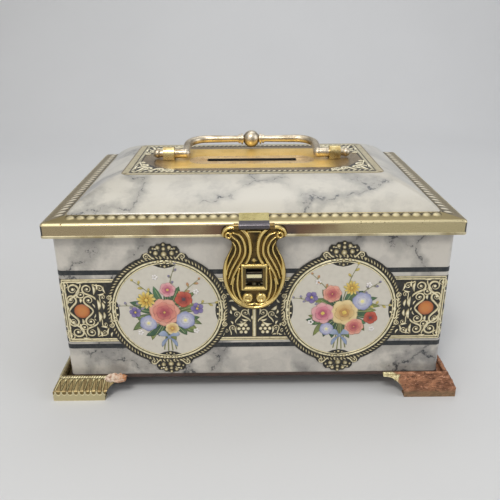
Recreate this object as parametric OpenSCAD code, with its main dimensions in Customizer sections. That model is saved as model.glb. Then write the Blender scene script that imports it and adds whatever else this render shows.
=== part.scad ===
// Tin money box: a printed tinplate box on four pressed corner feet, with a
// hinged domed lid, a coin slot, a swinging bail handle and a front hasp that
// snaps over a staple.
// Millimetres. X to the right, Y to the back, Z up; z = 0 is the table and
// x = y = 0 is the middle of the box.

/* [Box] */
// Width of the lid across its skirt
lid_w = 160; // [150:1:175]
// Depth of the lid across its skirt
lid_d = 114; // [106:1:125]
// How far the lid's skirt stands out past the walls
lid_overhang = 3; // [2.8:0.1:3.6]
// Height of the walls
wall_h = 68.7; // [62:0.1:80]
// Thickness of the tinplate
sheet_t = 0.4; // [0.3:0.05:0.5]
// Corner radius of the walls
wall_corner_r = 2.2; // [1.6:0.1:3]
// Height of the folded hem round the walls' top
hem_h = 4; // [2:0.5:7]
// Width of the ledge turned in at the walls' bottom
ledge_w = 3; // [2:0.5:5]

/* [Base panel] */
// Height of the base panel's turned-up rim
base_rim_h = 1.3; // [0.8:0.1:2.5]
// Width of the flat border round the raised middle
base_border = 14; // [13:1:20]
// How far the middle is raised
base_raise = 1.2; // [0.6:0.1:2.5]

/* [Feet] */
// Height of the box's base above the table
foot_h = 7.3; // [6.8:0.1:9]
// How far a foot stands out past the walls at the table
foot_out = 6.5; // [6:0.1:8]
// Height of a foot's upright band
foot_band_h = 4.4; // [3:0.1:5]
// Height of a foot's beaded rim above the base panel's underside
foot_rim_rise = 1.9; // [1.4:0.1:3]
// Gap between the walls and the middle of a foot's beaded rim
foot_rim_out = 2.8; // [2.4:0.1:3.4]
// Radius of a foot's beaded rim
foot_rim_r = 0.7; // [0.5:0.05:0.9]
// Thickness of a foot's metal
foot_t = 0.7; // [0.5:0.05:1]
// Length of a foot's wing on the table, from the corner of the walls
foot_run = 14.7; // [12:0.1:20]
// Radius of the hollow curve at a wing's end
foot_curve_r = 8; // [7:0.1:8.1]
// Radius of a wing's rounded tip
foot_tip_r = 0.8; // [0.75:0.05:1.2]
// Width of the sole turned in under a foot
foot_sole_w = 4; // [3:0.1:5]
// Length of the shelf that carries the base panel
shelf_len = 14; // [12:0.5:16]
// Length of the shelf's cut corner
shelf_cut = 8; // [5:0.5:9]
// Distance of a foot's rivet from the walls
foot_rivet_in = 8; // [7:0.5:9]

/* [Lid] */
// Height of the lid's skirt
skirt_h = 5.5; // [4.6:0.1:7]
// How far the rolled bead stands out at the skirt's bottom
bead_out = 0.2; // [0.1:0.05:0.25]
// Height of the rolled bead
bead_h = 1; // [0.6:0.1:1.4]
// Radius of the lid's top edge
edge_r = 0.8; // [0.5:0.1:1.2]
// Width of the border band before and behind the dome
band_w = 6.3; // [5.5:0.1:8]
// Width of the border band at the dome's ends
end_band_w = 8.6; // [7:0.1:10]
// How far the band rises towards the dome
band_rise = 1.6; // [1:0.1:2.2]
// Rise of the dome above the band
dome_rise = 9.5; // [7:0.1:12]
// Fullness of the dome's curve
dome_power = 1.3; // [1.15:0.05:1.8]
// Width of the flat top
plate_w = 109; // [100:1:120]
// Depth of the flat top
plate_d = 57.2; // [50:0.2:64]
// Gap between the lid's band and the walls' rim
rim_gap = 0.25; // [0.15:0.05:0.4]
// Width of the open gap at each corner of the skirt
skirt_slit_w = 1.1; // [0.6:0.1:1.6]

/* [Coin slot] */
// Length of the coin slot
slot_len = 40; // [34:0.5:46]
// Width of the coin slot
slot_w = 4.6; // [4.4:0.1:6]
// Depth of the slot's turned-down lips
slot_lip = 1.4; // [0.8:0.1:2.5]
// Length of the dish round the slot, at its top
dish_w = 86; // [82:1:94]
// Width of the dish round the slot, at its top
dish_d = 37; // [30:0.5:44]
// Length of the dish's flat floor
land_w = 60; // [50:1:66]
// Width of the dish's flat floor
land_d = 18; // [14:0.5:22]
// Depth of the dish
dish_depth = 0.9; // [0.4:0.1:1.2]

/* [Handle] */
// Distance between the middles of the two handle brackets
bracket_span = 75; // [72:0.5:80]
// Width of a handle bracket
bracket_w = 5.1; // [4:0.1:6.5]
// Thickness of the bracket strap
strap_t = 0.6; // [0.5:0.05:0.8]
// Height of the handle's pivot above the flat top
pivot_rise = 2.3; // [2.2:0.1:3]
// Radius of the handle's trunnions
trunnion_r = 1.6; // [1.3:0.1:1.7]
// Distance between the middles of the handle's arms
arm_span = 60; // [56:0.5:62]
// Radius of an arm's rounded foot
arm_foot_r = 2.2; // [2.1:0.1:2.3]
// Radius of an arm
arm_r = 1.8; // [1.6:0.1:1.9]
// Distance from the pivot to the middle of the grip
handle_reach = 20.1; // [18:0.1:24]
// Radius of the bend between an arm and the grip
elbow_r = 9; // [6:0.5:12]
// How far the grip lies above the pivot with the handle down
grip_rise = 2.3; // [2.1:0.1:3]
// Radius of the grip beside the collars
grip_r = 1.5; // [1.2:0.05:1.7]
// Radius of the ball in the middle of the grip
ball_r = 4; // [3:0.1:4.1]
// Radius of the collars beside the ball
collar_r = 2.5; // [2:0.1:3]
// Radius of the knobs at the trunnions' outer ends
knob_r = 2; // [1.8:0.1:2.2]
// Gap between a bracket and a knob's middle
knob_gap = 2.6; // [2.3:0.1:3.2]

/* [Lid hinge] */
// Width of the hinge
hinge_w = 56; // [40:1:80]
// Number of knuckles, the odd ones on the box and the even ones on the lid
knuckles = 5; // [3:2:7]
// Outer radius of a hinge knuckle
knuckle_r = 1.3; // [1.2:0.05:1.4]
// Radius of the hinge pin
pin_r = 0.75; // [0.6:0.05:0.8]
// Thickness of the hinge leaves
leaf_t = 0.6; // [0.5:0.05:0.7]
// Depth of the hinge axis below the skirt's bottom
hinge_drop = 1.7; // [1.6:0.1:2.4]
// Length of the box's leaf below the hinge axis
leaf_drop = 16; // [12:0.5:22]
// Number of rivets in each hinge leaf
hinge_rivets = 3; // [2:1:5]

/* [Hasp] */
// Width of the hasp's bracket
hasp_bracket_w = 11.3; // [10.5:0.1:12]
// Thickness of the bracket's strap
hasp_strap_t = 0.5; // [0.4:0.05:0.6]
// Outer radius of the bracket's knuckle
hasp_knuckle_r = 1.2; // [1.1:0.05:1.3]
// Radius of the hasp's pin
hasp_pin_r = 0.6; // [0.5:0.05:0.65]
// Width of each lug behind the hasp
hasp_lug_w = 1.8; // [1.2:0.1:2.2]
// Length of the hasp below its pin
hasp_len = 35; // [33:0.5:38]
// Half the width of the hasp at its belly
hasp_half_w = 12.1; // [11.5:0.1:13.5]
// Thickness of the hasp's plate
hasp_t = 1; // [0.8:0.05:1.1]
// Gap between the hanging hasp and the skirt's bead
hasp_gap = 0.4; // [0.35:0.05:0.5]
// Width of the hasp's window
window_w = 6.5; // [6.3:0.1:7]
// Height of the hasp's window
window_h = 7.4; // [7:0.1:8]
// Width of the raised frame round the window
frame_w = 1.9; // [1.2:0.1:2.2]
// How far the frame stands out from the plate
frame_out = 0.8; // [0.4:0.1:0.9]
// Depth of the window's middle below the hasp's pin
window_drop = 21; // [20:0.1:22]

/* [Staple] */
// Width of the staple
staple_w = 5.8; // [4.5:0.1:5.9]
// Height of the staple
staple_h = 5.2; // [4.6:0.1:5.4]
// How far the staple stands out from the wall
staple_out = 3.2; // [2.8:0.1:3.4]
// Thickness of the staple's strip
staple_t = 0.8; // [0.6:0.05:0.9]
// Length of the staple's tongues inside the wall
tongue_len = 3.2; // [2:0.1:5]

/* [Fits] */
// Radial clearance round a pin that turns
bore_gap = 0.05; // [0.02:0.01:0.1]
// Clearance round a piece that sits in a cut-out
seat_gap = 0.05; // [0.03:0.01:0.1]
// Side clearance between pieces that turn past each other
side_gap = 0.25; // [0.15:0.05:0.4]
// Radius of a rivet's shank
rivet_r = 0.9; // [0.7:0.05:1.1]
// Radius of a rivet's head
rivet_head_r = 1.6; // [1.3:0.05:1.8]
// Height of a rivet's head
rivet_head_h = 0.5; // [0.3:0.05:0.6]

/* [Hidden] */
$fn = 48;
cut = 1;          // how far a cutting shape runs past what it cuts
bond = 0.05;      // how deep two shapes of one piece run into each other
corner_steps = 6; // facets round each corner of the lid

body_w = lid_w - 2 * lid_overhang;
body_d = lid_d - 2 * lid_overhang;

// Heights, from the table up
wall_z = foot_h + sheet_t;
rim_z = wall_z + wall_h;
band_slope = band_rise / band_w;
end_slope = band_rise / end_band_w;
edge_z = rim_z + rim_gap + sheet_t * norm([1, end_slope]) - end_slope * lid_overhang;
skirt_z = edge_z - skirt_h;
dome_z = edge_z + band_rise;
top_z = dome_z + dome_rise;
land_z = top_z - dish_depth;

// The lid's hinge axis, along X behind the back wall
hinge_y = lid_d / 2 + bead_out + knuckle_r;
hinge_z = skirt_z - hinge_drop;
knuckle_w = hinge_w / knuckles;

// The handle's pivot axis, along X through the middle of the flat top
pivot_z = top_z + pivot_rise;
handle_tilt = asin(grip_rise / handle_reach);

// The hasp's hinge axis, along X in front of the skirt
hasp_back_y = -lid_d / 2 - bead_out - hasp_gap;
hasp_pin_y = hasp_back_y - hasp_t - 0.3;
strap_lift = seat_gap + hasp_strap_t;
hasp_pin_z = edge_z + strap_lift - hasp_knuckle_r;
window_z = hasp_pin_z - window_drop;
lug_x = hasp_bracket_w / 2 + side_gap;
staple_z = window_z - 0.7;

// ---- shapes that repeat ----

// A rectangle with round corners, centred on the origin.
module rounded_rect(w, d, r) {
    square([w - 2 * r, d], center = true);
    square([w, d - 2 * r], center = true);
    for (x = [-1, 1], y = [-1, 1])
        translate([x * (w / 2 - r), y * (d / 2 - r)]) circle(r);
}

// An upright tube with that outline, its wall t thick inside it.
module rounded_tube(w, d, r, t, h) {
    linear_extrude(h) difference() {
        rounded_rect(w, d, r);
        rounded_rect(w - 2 * t, d - 2 * t, max(r - t, 0.2));
    }
}

// A profile drawn in Y and Z, extruded w wide along X about x = x_mid.
module along_x(w, x_mid = 0) {
    translate([x_mid - w / 2, 0, 0]) rotate([90, 0, 90]) linear_extrude(w) children();
}

// A round bar along X, centred at x_mid.
module bar_x(w, r, x_mid = 0) {
    translate([x_mid - w / 2, 0, 0]) rotate([0, 90, 0]) cylinder(h = w, r = r);
}

// A rivet that holds a stack from z = 0 up to z = grip, with a head at each end.
module rivet(grip) {
    translate([0, 0, -bond]) cylinder(h = grip + 2 * bond, r = rivet_r);
    translate([0, 0, grip])
        cylinder(h = rivet_head_h, r1 = rivet_head_r, r2 = rivet_head_r * 0.7);
    translate([0, 0, -rivet_head_h])
        cylinder(h = rivet_head_h, r1 = rivet_head_r * 0.7, r2 = rivet_head_r);
}

// Where the rivets of a hinge leaf stand along X.
function hinge_rivet_x(i) = hinge_w * ((i + 0.5) / hinge_rivets - 0.5);

// A smooth closed curve through the points, as a Catmull-Rom spline.
function spline_at(a, b, c, d, t) =
    0.5 * (2 * b + (c - a) * t + (2 * a - 5 * b + 4 * c - d) * t * t
           + (3 * b - a - 3 * c + d) * t * t * t);
function smooth(points, steps) = [
    for (i = [0 : len(points) - 1], s = [0 : steps - 1])
        spline_at(points[(i + len(points) - 1) % len(points)], points[i],
                  points[(i + 1) % len(points)], points[(i + 2) % len(points)], s / steps)];

// ---- box ----

// Four walls from one bent sheet: a hem round the top, a ledge turned in at the
// bottom, slots for the staple's tongues and holes for the hinge's rivets.
module body_shell() {
    color("gainsboro") difference() {
        union() {
            translate([0, 0, wall_z])
                rounded_tube(body_w, body_d, wall_corner_r, sheet_t, wall_h);
            translate([0, 0, rim_z - hem_h])
                rounded_tube(body_w, body_d, wall_corner_r, 2 * sheet_t, hem_h);
            translate([0, 0, wall_z])
                rounded_tube(body_w, body_d, wall_corner_r, ledge_w, sheet_t);
        }
        for (z = [-1, 1])
            translate([-staple_w / 2 - seat_gap, -body_d / 2 - cut,
                       staple_z + z * (staple_h - staple_t) / 2 - staple_t / 2 - seat_gap])
                cube([staple_w + 2 * seat_gap, sheet_t + 2 * cut, staple_t + 2 * seat_gap]);
        for (i = [0 : hinge_rivets - 1])
            translate([hinge_rivet_x(i), body_d / 2 - sheet_t - cut, body_rivet_z()])
                rotate([-90, 0, 0]) cylinder(h = sheet_t + 2 * cut, r = rivet_r + seat_gap);
    }
}

// The bottom: a shallow tray whose rim laps the walls' outside, raised in the middle.
module base_panel() {
    lap = sheet_t + seat_gap;
    mid_w = body_w - 2 * base_border;
    mid_d = body_d - 2 * base_border;
    color("rosybrown") difference() {
        union() {
            translate([0, 0, foot_h]) linear_extrude(sheet_t)
                rounded_rect(body_w + 2 * lap, body_d + 2 * lap, wall_corner_r + lap);
            translate([0, 0, foot_h])
                rounded_tube(body_w + 2 * lap, body_d + 2 * lap, wall_corner_r + lap,
                             sheet_t, base_rim_h);
            translate([0, 0, foot_h]) linear_extrude(base_raise + sheet_t)
                rounded_rect(mid_w, mid_d, wall_corner_r);
        }
        translate([0, 0, foot_h - cut]) linear_extrude(base_raise + cut)
            rounded_rect(mid_w - 2 * sheet_t, mid_d - 2 * sheet_t, wall_corner_r - sheet_t);
        for (x = [-1, 1], y = [-1, 1])
            translate([x * (body_w / 2 - foot_rivet_in), y * (body_d / 2 - foot_rivet_in),
                       foot_h - cut])
                cylinder(h = sheet_t + 2 * cut, r = rivet_r + seat_gap);
    }
}

// A foot's outer face leans in from the knee above its band to its rim.
foot_knee = 0.4;
foot_rim_z = foot_h + foot_rim_rise;
foot_face_top = foot_rim_out + foot_rim_r * 0.7;
function foot_face(z) =
    let (knee_z = foot_band_h + foot_knee, knee_out = foot_out - foot_knee)
        knee_out - (knee_out - foot_face_top) * (z - knee_z) / (foot_rim_z - knee_z);

// Section of a foot across its wing: out from the wall along X, up along Y.
module foot_section() {
    polygon([[foot_out - foot_sole_w, 0], [foot_out, 0], [foot_out, foot_band_h],
             [foot_out - foot_knee, foot_band_h + foot_knee], [foot_face_top, foot_rim_z],
             [foot_rim_out - foot_rim_r * 0.5, foot_rim_z],
             [foot_out - foot_knee - foot_t * 1.3, foot_band_h + foot_knee],
             [foot_out - foot_t, foot_band_h], [foot_out - foot_t, foot_t],
             [foot_out - foot_sole_w, foot_t]]);
    translate([foot_rim_out, foot_rim_z]) circle(foot_rim_r);
}

// Outline of a wing seen from outside: along the wall, then up. The end sweeps
// up in a hollow curve to a round tip.
module wing_outline() {
    top = foot_rim_z + foot_rim_r;
    end_x = foot_run + foot_curve_r;
    difference() {
        translate([-foot_out - cut, 0]) square([foot_out + cut + end_x, top]);
        translate([end_x, foot_t / 2]) circle(foot_curve_r);
        translate([foot_run, -cut])
            square([foot_curve_r + cut, cut + foot_t / 2]);
    }
    translate([end_x, top - foot_tip_r]) circle(foot_tip_r);
}

// One wing along the front wall, mitred at the corner of the walls.
module foot_wing() {
    reach = foot_run + foot_curve_r + foot_tip_r + foot_out + 2 * cut;
    top = foot_rim_z + foot_rim_r;
    intersection() {
        translate([-foot_out - cut, 0, 0]) rotate([90, 0, 90])
            linear_extrude(reach) mirror([1, 0]) foot_section();
        rotate([90, 0, 0]) linear_extrude(foot_out + cut) wing_outline();
        linear_extrude(top + cut)
            polygon([[0, 0], [-foot_out - cut, -foot_out - cut],
                     [reach, -foot_out - cut], [reach, 0]]);
    }
}

// A corner foot in the place of the front left one: two mitred wings, and the
// shelf that the base panel stands on. The walls' corner is at the origin.
module foot_at_origin() {
    shelf_out = foot_face(foot_h) - foot_t * 0.6;
    difference() {
        union() {
            foot_wing();
            mirror([1, -1, 0]) foot_wing();
            translate([0, 0, foot_h - foot_t]) linear_extrude(foot_t)
                polygon([[-shelf_out, -shelf_out], [shelf_len, -shelf_out],
                         [shelf_len, shelf_len - shelf_cut], [shelf_len - shelf_cut, shelf_len],
                         [-shelf_out, shelf_len]]);
        }
        translate([foot_rivet_in, foot_rivet_in, 0])
            cylinder(h = foot_h + cut, r = rivet_r + seat_gap);
    }
}

// A foot mirrored into the corner (x_side, y_side) of the box.
module foot(x_side, y_side) {
    color("darkkhaki") translate([x_side * body_w / 2, y_side * body_d / 2, 0])
        mirror([x_side > 0 ? 1 : 0, 0, 0]) mirror([0, y_side > 0 ? 1 : 0, 0])
            foot_at_origin();
}

// One rivet up through each foot's shelf and the base panel.
module foot_rivets() {
    color("silver")
        for (x = [-1, 1], y = [-1, 1])
            translate([x * (body_w / 2 - foot_rivet_in), y * (body_d / 2 - foot_rivet_in),
                       foot_h - foot_t])
                rivet(foot_t + sheet_t);
}

// A strip bent into a bridge for the hasp to snap over. Its ends pass through
// the front wall and are clinched inside.
module staple() {
    wall_y = -body_d / 2;
    bend_r = 1.4;
    color("goldenrod") along_x(staple_w) {
        difference() {
            translate([wall_y, staple_z]) rounded_rect(2 * staple_out, staple_h, bend_r);
            translate([wall_y, staple_z])
                rounded_rect(2 * (staple_out - staple_t), staple_h - 2 * staple_t,
                             bend_r - staple_t);
            translate([wall_y + sheet_t, staple_z - staple_h])
                square([staple_out, 2 * staple_h]);
        }
        for (z = [-1, 1])
            translate([wall_y + sheet_t, staple_z + z * (staple_h / 2 + tongue_len / 2 - staple_t / 2)
                       - tongue_len / 2 - staple_t / 2])
                square([staple_t, tongue_len + staple_t]);
    }
}

// ---- lid hinge ----

// True for the knuckles that belong to the box.
function on_box(i) = i % 2 == 0;

// Middle of knuckle i along X.
function knuckle_x(i) = (i + 0.5 - knuckles / 2) * knuckle_w;

// The knuckles of one leaf, as solid bars on the hinge axis.
module knuckle_bars(box_side) {
    for (i = [0 : knuckles - 1])
        if (on_box(i) == box_side)
            translate([0, hinge_y, hinge_z])
                bar_x(knuckle_w - side_gap, knuckle_r, knuckle_x(i));
}

// Room in one leaf for the other leaf's knuckles.
module knuckle_room(box_side) {
    for (i = [0 : knuckles - 1])
        if (on_box(i) == box_side)
            translate([0, hinge_y, hinge_z])
                bar_x(knuckle_w + side_gap, knuckle_r + side_gap, knuckle_x(i));
}

// The bore of the knuckles, right through along X.
module hinge_bore() {
    translate([0, hinge_y, hinge_z]) bar_x(hinge_w + 2 * cut, pin_r + bore_gap);
}

// Height of the rivets that hold the box's leaf.
function body_rivet_z() = hinge_z - leaf_drop + 2.5 * rivet_head_r;

// The box's leaf: flat on the back wall, cranked out to clear the skirt.
module body_hinge_leaf() {
    wall_y = body_d / 2;
    out_y = hinge_y - knuckle_r;
    crank = out_y - wall_y;
    foot_z = hinge_z - leaf_drop;
    crank_z = hinge_z - knuckle_r - crank;
    color("silver") difference() {
        union() {
            along_x(hinge_w)
                polygon([[wall_y, foot_z], [wall_y + leaf_t, foot_z],
                         [wall_y + leaf_t, crank_z - leaf_t * 0.4],
                         [out_y + leaf_t, crank_z + crank - leaf_t * 0.4],
                         [out_y + leaf_t, hinge_z], [out_y, hinge_z],
                         [out_y, crank_z + crank], [wall_y, crank_z]]);
            knuckle_bars(true);
        }
        knuckle_room(false);
        hinge_bore();
        for (i = [0 : hinge_rivets - 1])
            translate([hinge_rivet_x(i), wall_y - cut, body_rivet_z()])
                rotate([-90, 0, 0]) cylinder(h = leaf_t + 2 * cut, r = rivet_r + seat_gap);
    }
}

// Rivets through the box's leaf and the back wall.
module body_hinge_rivets() {
    color("silver")
        for (i = [0 : hinge_rivets - 1])
            translate([hinge_rivet_x(i), body_d / 2 - sheet_t, body_rivet_z()])
                rotate([-90, 0, 0]) rivet(sheet_t + leaf_t);
}

// The pin on the hinge axis, its ends spread into heads.
module hinge_pin() {
    head_t = 0.6;
    color("silver") translate([0, hinge_y, hinge_z]) {
        bar_x(hinge_w + 2 * bond, pin_r);
        for (side = [-1, 1])
            bar_x(head_t, knuckle_r * 0.9, side * (hinge_w / 2 + head_t / 2));
    }
}

// Height of the rivets that hold the lid's leaf.
lid_rivet_z = skirt_z + (bead_h + skirt_h - edge_r) / 2;

// The lid's leaf: up the outside of the skirt, resting on its bead.
module lid_hinge_leaf() {
    out_y = hinge_y - knuckle_r;
    color("silver") difference() {
        union() {
            translate([-hinge_w / 2, out_y, hinge_z])
                cube([hinge_w, leaf_t, edge_z - edge_r - hinge_z]);
            knuckle_bars(false);
        }
        knuckle_room(true);
        hinge_bore();
        for (i = [0 : hinge_rivets - 1])
            translate([hinge_rivet_x(i), out_y - cut, lid_rivet_z])
                rotate([-90, 0, 0]) cylinder(h = leaf_t + 2 * cut, r = rivet_r + seat_gap);
    }
}

// Rivets through the lid's leaf and the skirt.
module lid_hinge_rivets() {
    color("silver")
        for (i = [0 : hinge_rivets - 1])
            translate([hinge_rivet_x(i), lid_d / 2 - sheet_t, lid_rivet_z])
                rotate([-90, 0, 0]) rivet(sheet_t + bead_out + leaf_t);
}

// ---- lid ----

// One corner of a ring, as an arc of corner_steps facets.
function corner(cx, cy, r, start) = [
    for (i = [0 : corner_steps])
        let (a = start + 90 * i / corner_steps) [cx + r * cos(a), cy + r * sin(a)]];

// A level ring with round corners, hx by hy from the middle, at height z.
function ring(hx, hy, r, z) = [
    for (p = concat(corner(hx - r, hy - r, r, 0), corner(r - hx, hy - r, r, 90),
                    corner(r - hx, r - hy, r, 180), corner(hx - r, r - hy, r, 270)))
        [p.x, p.y, z]];

// The lid's outside from the skirt's bottom to the dish's floor. Each entry is
// [half width, half depth, corner radius, height, sideways part and upward part
// of the direction to the inside].
half_w = lid_w / 2;
half_d = lid_d / 2;
skirt_corner_r = 1.5;
band_angle = atan(band_slope);
dome_run_x = half_w - end_band_w - plate_w / 2;
dome_run_y = half_d - band_w - plate_d / 2;
skirt_profile = [
    [half_w + bead_out, half_d + bead_out, skirt_corner_r + bead_out, skirt_z, 1, 0],
    [half_w + bead_out, half_d + bead_out, skirt_corner_r + bead_out, skirt_z + bead_h * 0.8, 1, 0],
    [half_w, half_d, skirt_corner_r, skirt_z + bead_h, 1, 0]];
edge_profile = [
    for (a = [0 : 22.5 : 67.5])
        let (inset = edge_r * (1 - cos(a)))
            [half_w - inset, half_d - inset, skirt_corner_r - inset,
             edge_z - edge_r * (1 - sin(a)) + band_slope * inset, cos(a), sin(a)]];
band_profile = [[half_w - end_band_w, half_d - band_w, 1.2, dome_z, 1, 1]];
dome_profile = [
    for (t = [9 : 9 : 90])
        let (in = 1 - pow(cos(t), 2 / dome_power), up = pow(sin(t), 2 / dome_power),
             side = pow(1 - in, dome_power - 1) / dome_run_y,
             rise = pow(up, dome_power - 1) / dome_rise)
            [half_w - end_band_w - dome_run_x * in, half_d - band_w - dome_run_y * in,
             1.2 + 2.4 * up, dome_z + dome_rise * up,
             side / norm([side, rise]), rise / norm([side, rise])]];
dish_profile = [
    [dish_w / 2, dish_d / 2, 12, top_z, 0, 1],
    [land_w / 2, land_d / 2, land_d / 2 - 0.5, land_z, 0, 1]];
lid_profile = concat(skirt_profile, edge_profile, band_profile, dome_profile, dish_profile);

// The same profile moved in by the sheet's thickness.
lid_inside = [
    for (p = lid_profile)
        [p[0] - sheet_t * p[4], p[1] - sheet_t * p[4], max(p[2] - sheet_t * p[4], 0.3),
         p[3] - sheet_t * p[5]]];

// A closed solid through a stack of rings, flat at both ends.
module ring_stack(rings) {
    n = len(rings[0]);
    m = len(rings);
    polyhedron(
        points = [for (r = rings, p = r) p],
        faces = concat(
            [[for (i = [0 : n - 1]) i]],
            [for (k = [0 : m - 2], i = [0 : n - 1])
                [k * n + i, (k + 1) * n + i, k * n + (i + 1) % n]],
            [for (k = [0 : m - 2], i = [0 : n - 1])
                [(k + 1) * n + i, (k + 1) * n + (i + 1) % n, k * n + (i + 1) % n]],
            [[for (i = [n - 1 : -1 : 0]) (m - 1) * n + i]]));
}

// One pressing: skirt, border band, dome, flat top and the dish with its slot.
module lid_shell() {
    inside_up = [for (i = [len(lid_inside) - 1 : -1 : 0]) lid_inside[i]];
    color("gainsboro") difference() {
        union() {
            ring_stack(concat(
                [for (p = inside_up) ring(p[0], p[1], p[2], p[3])],
                [for (p = lid_profile) ring(p[0], p[1], p[2], p[3])]));
            translate([-slot_len / 2 - sheet_t, -slot_w / 2 - sheet_t, land_z - slot_lip])
                cube([slot_len + 2 * sheet_t, slot_w + 2 * sheet_t, slot_lip - bond]);
        }
        translate([-slot_len / 2, -slot_w / 2, land_z - slot_lip - cut])
            cube([slot_len, slot_w, slot_lip + 2 * cut]);
        bracket_slots();
        hasp_strap_slot();
        skirt_slits();
        for (i = [0 : hinge_rivets - 1])
            translate([hinge_rivet_x(i), half_d - sheet_t - cut, lid_rivet_z])
                rotate([-90, 0, 0]) cylinder(h = sheet_t + 2 * cut, r = rivet_r + seat_gap);
    }
}

// Slots in the flat top for the legs of the handle's brackets.
module bracket_slots() {
    leg_y = trunnion_r + bore_gap;
    for (x = [-1, 1], y = [-1, 1])
        translate([x * bracket_span / 2, y * (leg_y + strap_t / 2), top_z])
            cube([bracket_w + 2 * seat_gap, strap_t + 2 * seat_gap, 4 * cut], center = true);
}

// Slot at the band's inner edge for the tail of the hasp's bracket.
module hasp_strap_slot() {
    translate([0, tail_y + hasp_strap_t / 2, dome_z])
        cube([hasp_bracket_w + 2 * seat_gap, hasp_strap_t + 2 * seat_gap, 4 * cut],
             center = true);
}

// The open gaps in the skirt's round corners, where its flaps don't quite meet.
module skirt_slits() {
    to_middle = skirt_corner_r * (1 - cos(45));
    for (x = [-1, 1], y = [-1, 1])
        translate([x * (half_w - to_middle), y * (half_d - to_middle),
                   skirt_z + bead_h * 0.9 + (skirt_h - bead_h - edge_r) / 2])
            rotate([0, 0, x * y * 45])
                cube([2 * cut, skirt_slit_w, skirt_h - bead_h - edge_r], center = true);
}

// ---- handle ----

// A strap over one trunnion, its legs through the flat top and clinched below.
module handle_bracket(side) {
    inner_r = trunnion_r + bore_gap;
    outer_r = inner_r + strap_t;
    clinch_z = land_z - sheet_t - strap_t - seat_gap;
    clinch_len = 2;
    color("gold") translate([side * bracket_span / 2, 0, 0]) difference() {
        union() {
            translate([0, 0, pivot_z]) bar_x(bracket_w, outer_r);
            translate([-bracket_w / 2, -outer_r, clinch_z])
                cube([bracket_w, 2 * outer_r, pivot_z - clinch_z]);
            translate([-bracket_w / 2, -outer_r - clinch_len, clinch_z])
                cube([bracket_w, 2 * (outer_r + clinch_len), strap_t]);
        }
        translate([0, 0, pivot_z]) bar_x(bracket_w + 2 * cut, inner_r);
        translate([-bracket_w / 2 - cut, -inner_r, clinch_z - cut])
            cube([bracket_w + 2 * cut, 2 * inner_r, pivot_z - clinch_z + cut]);
    }
}

// One side of the handle, drawn flat with the pivot axis along X: trunnion with
// its knob, the arm's rounded foot, the arm and the elbow.
module handle_arm() {
    arm_x = arm_span / 2;
    knob_x = bracket_span / 2 + bracket_w / 2 + knob_gap;
    straight = handle_reach - elbow_r;
    translate([arm_x, 0, 0]) rotate([0, 90, 0]) cylinder(h = knob_x - arm_x, r = trunnion_r);
    translate([knob_x, 0, 0]) sphere(knob_r);
    translate([arm_x, 0, 0]) sphere(arm_foot_r);
    translate([arm_x, 0, 0]) rotate([-90, 0, 0]) cylinder(h = straight, r = arm_r);
    translate([arm_x - elbow_r, straight, 0])
        rotate_extrude(angle = 90) translate([elbow_r, 0]) circle(arm_r);
}

// The grip, turned about its own axis: thinnest beside the collars, with a ball
// in the middle.
module handle_grip() {
    half_len = arm_span / 2 - elbow_r;
    collar_w = grip_r * 0.6;
    collar_step = collar_r * 0.14;
    collar_seat = 0.45;
    collar_pitch = 1.45;
    rotate([0, 90, 0]) rotate_extrude()
        polygon([[0, -half_len], [arm_r, -half_len], [grip_r, -ball_r], [grip_r, ball_r],
                 [arm_r, half_len], [0, half_len]]);
    rotate([0, 90, 0]) sphere(ball_r);
    for (side = [-1, 1], i = [0, 1])
        bar_x(collar_w, collar_r - collar_step * i,
              side * (ball_r + collar_w * (collar_seat + collar_pitch * i)));
}

// The bail: a cast bar with a ball in the middle, lying back on the flat top.
module handle() {
    color("tan") translate([0, 0, pivot_z]) rotate([handle_tilt, 0, 0]) {
        handle_arm();
        mirror([1, 0, 0]) handle_arm();
        translate([0, handle_reach, 0]) handle_grip();
    }
}

// ---- hasp ----

// Where the tail of the bracket's strap goes down through the band.
tail_y = -half_d + band_w - hasp_strap_t - 0.3;

// A strap that lies on the band in front, with a tail clinched under it and a
// knuckle rolled round the pin.
module hasp_bracket() {
    function band_at(y) = edge_z + band_slope * (y + half_d) + seat_gap;
    front_y = -half_d + edge_r;
    tail_drop = 2.4;
    clinch = 3;
    color("gold") difference() {
        union() {
            along_x(hasp_bracket_w) {
                polygon([[tail_y + hasp_strap_t, band_at(tail_y) + hasp_strap_t],
                         [hasp_pin_y, hasp_pin_z + hasp_knuckle_r],
                         [hasp_pin_y, hasp_pin_z + hasp_knuckle_r - hasp_strap_t],
                         [front_y - edge_r - 0.3, band_at(front_y - edge_r)],
                         [front_y, band_at(front_y)],
                         [tail_y, band_at(tail_y)],
                         [tail_y, band_at(tail_y) - tail_drop],
                         [tail_y + clinch, band_at(tail_y) - tail_drop],
                         [tail_y + clinch, band_at(tail_y) - tail_drop + hasp_strap_t],
                         [tail_y + hasp_strap_t, band_at(tail_y) - tail_drop + hasp_strap_t]]);
            }
            translate([0, hasp_pin_y, hasp_pin_z]) bar_x(hasp_bracket_w, hasp_knuckle_r);
        }
        translate([0, hasp_pin_y, hasp_pin_z])
            bar_x(hasp_bracket_w + 2 * cut, hasp_pin_r + bore_gap);
    }
}

// The hasp's pin, held in the bracket's knuckle and level with the lugs' ends.
module hasp_pin() {
    color("silver") translate([0, hasp_pin_y, hasp_pin_z])
        bar_x(2 * (lug_x + hasp_lug_w), hasp_pin_r);
}

// Right half of the hasp's outline, from the bottom up to the top of its ear,
// as [share of the half width, height above the bottom].
hasp_half = [[0, 0], [0.34, 0.7], [0.62, 3.1], [0.85, 7.6], [0.975, 12.2], [1, 16.4],
             [0.93, 20.8], [0.77, 24.8], [0.69, 27.4], [0.74, 29.3], [0.93, 30.3],
             [1.02, 32], [0.93, 34.1], [0.72, 35.2], [0.5, 34.9]];

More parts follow.
